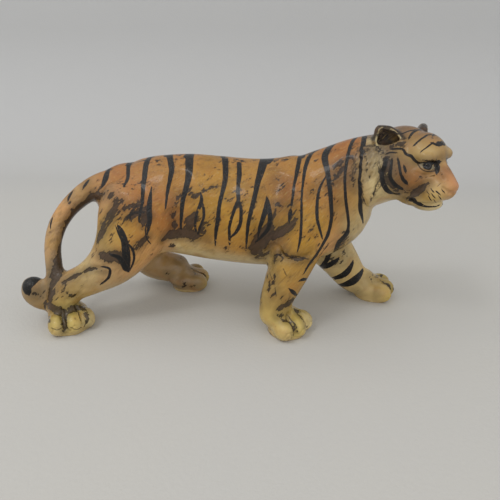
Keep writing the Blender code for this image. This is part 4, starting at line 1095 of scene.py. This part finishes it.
        ("dusk", [("share", 1.05, -0.04), ("around", 0.99, -0.03), ("up", 0.4, -5)]),
    ],
    "earStrength": 0.92,
    # the right eye: two balls that cross to an almond, with the radius and soft edge of their rims; glint marks the
    # middle of a painted highlight
    "eye": {"above": (71.6, -15.5, 71.67), "below": (70.2, -16, 64.73), "iris": (70.9, -15.9, 68.5),
        "glint": (70.4, -15.8, 69)},
    "lids": (4.64, 0.12),
    # painted one over the other: centre, radius, soft edge, glaze
    "eyeDiscs": [
        ("iris", 1.7, 0.2, "black"),
        ("iris", 0.98, 0.1, "iris"),
        ("iris", 0.74, 0.1, "black"),
        # the last disc is a painted highlight, a pale spot for a reflection in the eye
        ("glint", 0.2, 0.08, "eyeWhite"),
    ],
}


def mirroredHead(point):
    local = skull.inverted() @ Vector(point[:3])
    local.y = -local.y
    return (*(skull @ local), *point[3:])


def mirroredBody(point):
    return (point[0], -point[1], *point[2:])


def otherSideOf(point, middle):
    return (point[0], 2 * middle - point[1], *point[2:])


rng = random.Random(paint["seed"])
tones = paint["tones"]
strokes = []
for name, rows in paint["bodyStripes"].items():
    tone = tones.get(name, 1.0)
    if name in paint["overTheSpine"]:
        lean, drop = paint["overTheSpine"][name]
        first = rows[0]
        rows = [(first[0] + lean, 0.0, first[2] + drop, first[3])] + rows
    strokes.append((rows, tone))
    stray = paint["stray"]
    drift, swellBy = rng.uniform(*stray["drift"]), rng.uniform(*stray["swell"])
    other = []
    for index, row in enumerate(rows):
        x, y, z, wide = mirroredBody(row)
        share = min(index / stray["fullAt"], 1.0)
        x = x + drift * share + rng.uniform(*stray["along"]) * share
        z = z + rng.uniform(*stray["up"]) * share
        other.append((x, y, z, wide * swellBy))
    strokes.append((other, tone))
for name, rows in paint["legMarks"].items():
    tone = tones.get(name, 1.0)
    strokes.append((rows, tone))
    if name in paint["otherSides"]:
        strokes.append(([otherSideOf(row, paint["otherSides"][name]) for row in rows], tone))
for name, rows in paint["faceStrokes"].items():
    tone = tones.get(name, 1.0)
    strokes.append((rows, tone))
    strokes.append(([mirroredHead(row) for row in rows], tone))
hairs = paint["ruffHairs"]
for column, back in enumerate(range(*hairs["backs"])):
    for height in range(*hairs["heights"]):
        for sign in (-1, 1):
            behind = -back + rng.uniform(*hairs["jitter"])
            above = height - column + rng.uniform(*hairs["jitter"])
            root = skull @ inHead((behind, hairs["out"], above), sign)
            lean, drop = rng.uniform(*hairs["lean"]), rng.uniform(*hairs["drop"])
            tip = root + skull.to_3x3() @ Vector((lean, 0, drop))
            halfway = (*((root + tip) / 2), rng.uniform(*hairs["width"]))
            rows = [(*root, hairs["rootWidth"]), halfway, (*tip, hairs["tipWidth"])]
            strokes.append((rows, rng.uniform(*hairs["tone"])))
for place, heading in tiger["paws"].values():
    for gap in tiger["toeGaps"]:
        rows = toeGapLine(place, heading, gap)
        widths = paint["toeGapWidths"]
        strokes.append(([(*row, wide) for row, wide in zip(rows, widths)], paint["toeGapTone"]))

# Washes of the body and the head are repeated on the left, those of the legs and the tail are not.
washes = []
kinds = (("bodyWashes", mirroredBody, paint["leftShare"]), ("headWashes", mirroredHead, 1.0), ("limbWashes", None, 0))
for kind, mirrored, share in kinds:
    for rows, strength in paint[kind].values():
        rows = [(*row[:3], row[3] * paint["washWidth"]) for row in rows]
        washes.append((rows, strength))
        if mirrored:
            washes.append(([mirrored(row) for row in rows], strength * share))

patches = []
for glaze, places in paint["patches"].items():
    for x, y, z, reach in places:
        patches.append(((x, y, z), reach, glaze))
        if x > paint["headFrom"] and z > paint["headAbove"]:
            patches.append((mirroredHead((x, y, z)), reach, glaze))
        elif z > paint["trunkAbove"] and abs(x) < paint["headFrom"] and y < paint["rightOf"]:
            patches.append(((x, -y, z), reach, glaze))
for glaze, places in paint["unseenPatches"].items():
    patches += [(tuple(place), reach, glaze) for *place, reach in places]

tree = skinTree(form.data)
spots, normals = meshArrays(form.data)
count = len(spots)
far = paint["far"]
orders = ("first", "second", "third")
layers = []
for order in orders:
    near, across = np.full(count, far), np.full(count, far)
    layers.append({"near": near, "across": across, "half": np.zeros(count), "tone": np.zeros(count)})
# Strokes that meet go to different layers, so that each one keeps its own two edges.
for rows, tone in strokes:
    near, across, half = acrossLine(spots, normals, layLine(rows, tree), paint["strokeMargin"])
    if across is None:
        continue
    value = np.abs(across) - half
    close = paint["meeting"]
    meets = [int(((layer["near"][near] < close) & (value < close)).sum()) for layer in layers]
    layer = layers[meets.index(min(meets))]
    better = value < layer["near"][near]
    picked = near[better]
    layer["near"][picked] = value[better]
    layer["across"][picked] = across[better]
    layer["half"][picked] = half[better]
    layer["tone"][picked] = tone
fields = {"wash": np.zeros(count), "smoke": np.zeros(count)}
for order, layer in zip(orders, layers):
    for part, values in layer.items():
        fields[order + part.capitalize()] = values
for rows, strength in washes:
    line = layLine(rows, tree)
    near, across, half = acrossLine(spots, normals, line, paint["washMargin"], paint["washFacing"])
    if across is None:
        continue
    edge = paint["washEdge"]
    amount = strength * np.clip((half + edge - np.abs(across)) / (2 * edge), 0, 1)
    fields["wash"][near] = np.maximum(fields["wash"][near], amount)
    past = np.clip(np.abs(across) - half, 0, None)
    soft = strength * np.exp(-((past / paint["smokeReach"]) ** 2))
    fields["smoke"][near] = np.maximum(fields["smoke"][near], soft)


# A product of ramps over the measures of the points; each has its start, its run and maybe its least value.
def covered(measures, ramps):
    parts = []
    for measure, start, run, *least in ramps:
        parts.append(np.clip((measures[measure] - start) / run, least[0] if least else 0, 1))
    return np.prod(parts, axis=0)


# Old wash lies in the hair, most of all on the flanks; the head, belly and paws are smoother and cleaner.
measures = {"x": spots[:, 0], "z": spots[:, 2], "facing": normals[:, 2]}
cover = paint["cover"]
fields["wash"] = np.maximum(fields["wash"], paint["stain"] * covered(measures, cover["stain"]))
fields["fur"] = covered(measures, cover["fur"])
print("painted:", len(strokes), "strokes,", len(washes), "washes")


# From an sRGB tint out of 255 to linear light.
def linear(tint):
    return np.array([(part / 255 / 12.92) if part <= 10 else ((part / 255 + 0.055) / 1.055) ** 2.4 for part in tint])


ground = np.zeros((count, 3))
weights = np.zeros(count)
for place, reach, glaze in patches:
    square = ((spots - np.array(place)) ** 2).sum(1) / reach**2
    weight = np.exp(-square) + paint["patchTail"] / (1 + square) ** 2
    ground += weight[:, None] * linear(paint["glazes"][glaze])
    weights += weight
ground /= weights[:, None]


def layGlaze(glaze, amount):
    ground[:] += (linear(paint["glazes"][glaze]) - ground) * amount[:, None]


# The underside and the insides of the legs are left pale.
layGlaze("bone", paint["paleUnder"] * covered(measures, cover["under"]))
layGlaze("bone", paint["paleSole"] * covered(measures, cover["sole"]))


# Where each point lies on an ear: depth in its cup, whose wall is at 1, the same seen from the front, and place.
def earMeasures(sign):
    share, around = np.full(count, far), np.full(count, far)
    places = []
    for centre, radii, turn in lobesOf(sign, head["earWall"]):
        local = (spots - np.array(centre)) @ np.array(turn.to_3x3())
        parts = (local / np.array(radii)) ** 2
        share = np.minimum(share, np.sqrt(parts.sum(1)))
        around = np.minimum(around, np.sqrt(parts[:, 1:].sum(1)))
        places.append(local)
    return {"share": share, "around": around, "front": places[0][:, 0], "up": places[0][:, 2]}


for sign in (-1, 1):
    measures = earMeasures(sign)
    for glaze, ramps in paint["earBands"]:
        layGlaze(glaze, paint["earStrength"] * covered(measures, ramps))

for name, values in fields.items():
    layer = form.data.attributes.new(name, "FLOAT", "POINT")
    layer.data.foreach_set("value", values.astype(np.float32))
colours = form.data.attributes.new("ground", "FLOAT_COLOR", "POINT")
colours.data.foreach_set("color", np.hstack([ground, np.ones((count, 1))]).astype(np.float32).ravel())

# The mesh goes to its place: middle of its footprint over the origin, in metres, within the CAD's box.
low, high = spots.min(0), spots.max(0)
middle = np.array([(low[0] + high[0]) / 2, (low[1] + high[1]) / 2, 0.0])
boxLow, boxHigh = [np.array(corner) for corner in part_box("tiger")]
middle[:2] -= (boxLow[:2] + boxHigh[:2]) / 2 * 1000
placed = np.clip((spots - middle) / 1000, boxLow, boxHigh)
form.data.vertices.foreach_set("co", placed.ravel())
form.data.update()
form.name = "paintedTiger"
form.data.shade_smooth()
print("placed: lowest", placed.min(0), "highest", placed.max(0))


def shaderNode(tree, kind, **settings):
    made = tree.nodes.new(kind)
    for name, value in settings.items():
        setattr(made, name, value)
    return made


def feed(tree, source, target):
    if isinstance(source, (int, float, tuple)):
        target.default_value = source
    else:
        tree.links.new(source, target)


def calc(tree, operation, *values):
    made = shaderNode(tree, "ShaderNodeMath", operation=operation)
    for value, socket in zip(values, made.inputs):
        feed(tree, value, socket)
    return made.outputs[0]


def remap(tree, value, low, high, toLow=0.0, toHigh=1.0):
    made = shaderNode(tree, "ShaderNodeMapRange", interpolation_type="SMOOTHSTEP")
    for part, socket in zip((value, low, high, toLow, toHigh), made.inputs):
        feed(tree, part, socket)
    return made.outputs["Result"]


def mixColour(tree, share, one, other):
    made = shaderNode(tree, "ShaderNodeMix", data_type="RGBA")
    for part, socket in ((share, 0), (one, 6), (other, 7)):
        feed(tree, part, made.inputs[socket])
    return made.outputs[2]


def attribute(tree, name, output="Fac"):
    return shaderNode(tree, "ShaderNodeAttribute", attribute_name=name).outputs[output]


def noise(tree, vector, scale, detail=2.0, roughness=0.5):
    made = shaderNode(tree, "ShaderNodeTexNoise")
    for part, socket in ((vector, "Vector"), (scale, "Scale"), (detail, "Detail"), (roughness, "Roughness")):
        feed(tree, part, made.inputs[socket])
    return made.outputs["Fac"]


def bumpFrom(tree, height, strength, distance):
    made = shaderNode(tree, "ShaderNodeBump")
    for part, socket in ((height, "Height"), (strength, "Strength"), (distance, "Distance")):
        feed(tree, part, made.inputs[socket])
    return made.outputs[0]


def groupSocket(tree, name, side, kind="NodeSocketFloat", value=None):
    socket = tree.interface.new_socket(name=name, in_out=side, socket_type=kind)
    if value is not None:
        socket.default_value = value


# Noises have their scale per metre, detail and roughness; fades and edges run from one value to the other.
brush = {
    "inputs": {"Across": 9.0, "Half Width": 0.0, "Near": 9.0, "Wobble": 0.1, "Softness": 0.05},
    "fine": (1400.0, 3.0, 0.6),
    "slow": (420.0, 2.0),
    "reach": 0.4,
    "pinholes": (2600.0, 1.0),
    "pinholeFade": (0.7, 0.76, 1.0, 0.3),
    "dryStreaks": 0.5,
    "dryEdge": (-0.4, 0.5),
}
mottle = {
    # scale, detail, how much longer than wide, lean of the comb
    "combed": {"Tufts": (480.0, 5.0, 3.0, 0.8), "Hairs": (1900.0, 2.0, 7.0, 0.7)},
    "combedRoughness": 0.6,
    "even": {"Clouds": (130.0, 3.0), "Specks": (2200.0, 2.0)},
}


# A brush stroke from its laid line: how far across, its half width, how near, and a wobble of its edge.
def brushStrokeGroup():
    tree = bpy.data.node_groups.new("brushStroke", "ShaderNodeTree")
    for name, value in brush["inputs"].items():
        groupSocket(tree, name, "INPUT", value=value)
    groupSocket(tree, "Vector", "INPUT", "NodeSocketVector")
    groupSocket(tree, "Mask", "OUTPUT")
    groupSocket(tree, "Dryness", "OUTPUT")
    given = shaderNode(tree, "NodeGroupInput").outputs
    result = shaderNode(tree, "NodeGroupOutput").inputs
    fine = noise(tree, given["Vector"], *brush["fine"])
    slow = noise(tree, given["Vector"], *brush["slow"])
    wobble = calc(tree, "MULTIPLY", calc(tree, "SUBTRACT", calc(tree, "ADD", fine, slow), 1.0), given["Wobble"])
    edge = calc(tree, "SUBTRACT", calc(tree, "ABSOLUTE", given["Across"]), given["Half Width"])
    edge = calc(tree, "MAXIMUM", edge, calc(tree, "SUBTRACT", given["Near"], brush["reach"]))
    edge = calc(tree, "ADD", edge, wobble)
    soft = given["Softness"]
    solid = remap(tree, edge, calc(tree, "MULTIPLY", soft, -1.0), soft, 1.0, 0.0)
    pinholes = remap(tree, noise(tree, given["Vector"], *brush["pinholes"]), *brush["pinholeFade"])
    feed(tree, calc(tree, "MULTIPLY", solid, pinholes), result["Mask"])
    streaked = calc(tree, "ADD", edge, calc(tree, "MULTIPLY", fine, brush["dryStreaks"]))
    feed(tree, remap(tree, streaked, *brush["dryEdge"]), result["Dryness"])
    return tree


# The mottle of sprayed colour, and the modelled hair of the coat, combed up and forward.
def glazeMottleGroup():
    tree = bpy.data.node_groups.new("glazeMottle", "ShaderNodeTree")
    groupSocket(tree, "Vector", "INPUT", "NodeSocketVector")
    for name in ("Clouds", "Tufts", "Hairs", "Specks"):
        groupSocket(tree, name, "OUTPUT")
    given = shaderNode(tree, "NodeGroupInput").outputs
    result = shaderNode(tree, "NodeGroupOutput").inputs
    for name, (scale, detail, length, lean) in mottle["combed"].items():
        combed = shaderNode(tree, "ShaderNodeMapping", vector_type="TEXTURE")
        combed.inputs["Rotation"].default_value = (0.0, lean, 0.0)
        combed.inputs["Scale"].default_value = (1.0, 1.0, length)
        feed(tree, given["Vector"], combed.inputs["Vector"])
        feed(tree, noise(tree, combed.outputs[0], scale, detail, mottle["combedRoughness"]), result[name])
    for name, (scale, detail) in mottle["even"].items():
        feed(tree, noise(tree, given["Vector"], scale, detail), result[name])
    return tree


# One inside a ball and nought outside it.
def within(tree, vector, centre, radius, soft):
    reach = shaderNode(tree, "ShaderNodeVectorMath", operation="DISTANCE")
    feed(tree, vector, reach.inputs[0])
    feed(tree, centre, reach.inputs[1])
    return remap(tree, reach.outputs["Value"], radius - soft, radius + soft, 1.0, 0.0)


def tintOf(name):
    return (*linear(paint["glazes"][name]), 1.0)


def newMaterial(name):
    material = bpy.data.materials.new(name)
    material.use_nodes = True
    tree = material.node_tree
    place = shaderNode(tree, "ShaderNodeTexCoord").outputs["Object"]
    return material, tree, tree.nodes["Principled BSDF"].inputs, place


def paintedGlaze(eyes):
    material, tree, surface, place = newMaterial("paintedGlaze")
    brushStroke = brushStrokeGroup()
    coat = shaderNode(tree, "ShaderNodeGroup", node_tree=glazeMottleGroup())
    feed(tree, place, coat.inputs["Vector"])
    clouds, tufts, hairs, specks = [coat.outputs[name] for name in ("Clouds", "Tufts", "Hairs", "Specks")]
    look = paint["look"]
    furry = attribute(tree, "fur")

    def times(one, other):
        return calc(tree, "MULTIPLY", one, other)

    def plus(one, other):
        return calc(tree, "ADD", one, other)

    colour = attribute(tree, "ground", "Color")
    colour = mixColour(tree, remap(tree, clouds, *look["rustClouds"], 0.0, look["cloud"]), colour, tintOf("rust"))
    colour = mixColour(tree, remap(tree, clouds, *look["goldClouds"], 0.0, look["cloud"]), colour, tintOf("gold"))
    # The ridges of the combed hair are painted paler and the hollows between the tufts darker: partly the glaze's own
    # mottle, partly painted highlight and painted shade that bring out the relief.
    ridges = times(remap(tree, hairs, *look["hairRidges"]), furry)
    colour = mixColour(tree, times(ridges, look["hair"]), colour, tintOf("straw"))
    dark = times(remap(tree, tufts, *look["tuftHollows"]), furry)
    colour = mixColour(tree, times(dark, look["mottle"]), colour, tintOf("umber"))

    # old wash lies in the hollows of the hair, and thickly where it was brushed on
    hollow = times(calc(tree, "SUBTRACT", 0.5, tufts), look["hollow"])
    furrow = times(calc(tree, "SUBTRACT", 0.5, hairs), look["furrow"])
    wash = attribute(tree, "wash")
    clusters = times(calc(tree, "SUBTRACT", clouds, 0.5), look["cluster"])
    level = plus(plus(wash, clusters), plus(hollow, furrow))
    pooled = times(remap(tree, level, *look["pooling"]), remap(tree, wash, *look["washOnset"]))
    veil = times(attribute(tree, "smoke"), look["veil"])
    brown = mixColour(tree, remap(tree, level, *look["brownWash"]), tintOf("soot"), tintOf("umber"))
    colour = mixColour(tree, calc(tree, "MAXIMUM", times(pooled, look["washDepth"]), veil), colour, brown)

    raised = 0.0
    for order in orders:
        stroke = shaderNode(tree, "ShaderNodeGroup", node_tree=brushStroke)
        feed(tree, place, stroke.inputs["Vector"])
        for part, socket in (("Across", "Across"), ("Half", "Half Width"), ("Near", "Near")):
            feed(tree, attribute(tree, order + part), stroke.inputs[socket])
        stroke.inputs["Wobble"].default_value = look["wobble"]
        stroke.inputs["Softness"].default_value = look["strokeSoftness"]
        black = mixColour(tree, times(stroke.outputs["Dryness"], look["dryness"]), tintOf("black"), tintOf("umber"))
        colour = mixColour(tree, times(stroke.outputs["Mask"], attribute(tree, order + "Tone")), colour, black)
        raised = calc(tree, "MAXIMUM", raised, stroke.outputs["Mask"])

    for eye in eyes:
        rings = [within(tree, place, eye[part], *eye["lids"]) for part in ("above", "below")]
        shown = tintOf("eyeWhite")
        # each eye's discs end in a painted highlight
        for centre, radius, soft, glaze in paint["eyeDiscs"]:
            disc = within(tree, place, eye[centre], radius / 1000, soft / 1000)
            shown = mixColour(tree, disc, shown, tintOf(glaze))
        colour = mixColour(tree, times(*rings), colour, shown)

    feed(tree, colour, surface["Base Color"])
    feed(tree, remap(tree, specks, *look["specks"], *look["roughness"]), surface["Roughness"])
    surface["Specular IOR Level"].default_value = look["specular"]
    surface["Coat Weight"].default_value = look["coat"]
    surface["Coat Roughness"].default_value = look["coatRoughness"]
    height = plus(times(tufts, look["tuftRelief"]), times(hairs, look["hairRelief"]))
    height = plus(times(height, furry), times(clouds, look["cloudRelief"]))
    height = plus(height, times(raised, look["strokeRelief"]))
    feed(tree, bumpFrom(tree, height, look["bump"], look["bumpDistance"]), surface["Normal"])
    return material


# Body-frame millimetres to the finished place, for what is found by position.
def settled(point):
    return tuple((np.array(point[:3]) - middle) / 1000)


eyes = []
for turn in (tuple, mirroredHead):
    eye = {part: settled(turn(spot)) for part, spot in paint["eye"].items()}
    eye["lids"] = [size / 1000 for size in paint["lids"]]
    eyes.append(eye)
form.data.materials.clear()
form.data.materials.append(paintedGlaze(eyes))
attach(form, "root")
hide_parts("tiger")
print("glazed")

room = {
    "floorTint": (192, 191, 187),
    "backTint": (187, 188, 189),
    "worldTint": (1.0, 0.985, 0.96, 1.0),
    "worldLevel": 0.85,
    "halfWidth": 1.4,
    "floorReach": 1.2,
    "bendAt": 0.2,
    "bendRadius": 0.12,
    "bendSteps": 16,
    "backHeight": 0.6,
    "fadeFrom": 0.1,
    "cloudScale": 9.0,
    "clouds": (0.35, 0.75, 0.0, 0.25),
    "roughness": 0.9,
    "specular": 0.2,
    "weaveScale": 700.0,
    "weaveStrength": 0.15,
    "weaveDepth": 0.0006,
    "aim": (0.0, 0.0, 0.04),
    # place, size, watts
    "lamps": {
        "window": ((-0.5, -0.3, 0.8), 0.9, 1.4),
        "glint": ((-0.3, -0.35, 0.75), 0.2, 0.85),
        "front": ((0.35, -0.9, 0.5), 0.9, 0.8),
        "rim": ((0.3, 0.5, 0.6), 0.8, 0.6),
    },
}


# A floor that bends up into the backdrop in one sweep.
def sweep():
    bm = bmesh.new()
    bend, radius, steps = room["bendAt"], room["bendRadius"], room["bendSteps"]
    profile = [(-room["floorReach"], 0.0), (0.0, 0.0), (bend, 0.0)]
    for step in range(1, steps + 1):
        angle = math.pi / 2 * step / steps
        profile.append((bend + radius * math.sin(angle), radius * (1 - math.cos(angle))))
    profile.append((bend + radius, room["backHeight"]))
    wide = room["halfWidth"]
    rows = [[bm.verts.new((x, y, z)) for x in (-wide, wide)] for y, z in profile]
    for one, other in zip(rows, rows[1:]):
        bm.faces.new((one[0], one[1], other[1], other[0]))
    made = objectFrom("sweep", bm)
    made.data.shade_smooth()
    material, tree, surface, place = newMaterial("paleCloth")
    apart = shaderNode(tree, "ShaderNodeSeparateXYZ")
    feed(tree, place, apart.inputs[0])
    rise = remap(tree, apart.outputs["Y"], room["fadeFrom"], bend + radius)
    floor, back = [(*linear(room[part]), 1.0) for part in ("floorTint", "backTint")]
    tint = mixColour(tree, rise, floor, back)
    cloud = noise(tree, place, room["cloudScale"])
    feed(tree, mixColour(tree, remap(tree, cloud, *room["clouds"]), tint, back), surface["Base Color"])
    surface["Roughness"].default_value = room["roughness"]
    surface["Specular IOR Level"].default_value = room["specular"]
    weave = noise(tree, place, room["weaveScale"])
    feed(tree, bumpFrom(tree, weave, room["weaveStrength"], room["weaveDepth"]), surface["Normal"])
    made.data.materials.append(material)


def lamp(name, place, size, power):
    light = bpy.data.lights.new(name, "AREA")
    light.shape = "DISK"
    light.size = size
    light.energy = power
    made = bpy.data.objects.new(name, light)
    made.location = place
    made.rotation_euler = (Vector(room["aim"]) - Vector(place)).to_track_quat("-Z", "Y").to_euler()
    bpy.context.scene.collection.objects.link(made)


sweep()
for name, settings in room["lamps"].items():
    lamp(name, *settings)
world = bpy.data.worlds.new("room")
world.use_nodes = True
background = world.node_tree.nodes["Background"].inputs
background["Color"].default_value = room["worldTint"]
background["Strength"].default_value = room["worldLevel"]
bpy.context.scene.world = world

# place in the body's millimetres, turn in degrees
view = {
    "place": (24.44, -187.73, 109.01),
    "turn": (66.5, 0.0, 5.275),
    "sensorWidth": 36.0,
    "lens": 34.92,
    "nearest": 0.01,
}
camera = bpy.data.objects.new("camera", bpy.data.cameras.new("camera"))
camera.data.sensor_width = view["sensorWidth"]
camera.data.lens = view["lens"]
camera.data.clip_start = view["nearest"]
camera.location = settled(view["place"])
camera.rotation_euler = [math.radians(angle) for angle in view["turn"]]
bpy.context.scene.collection.objects.link(camera)
bpy.context.scene.camera = camera
bpy.context.scene.view_settings.view_transform = "Standard"
print("room and camera set")
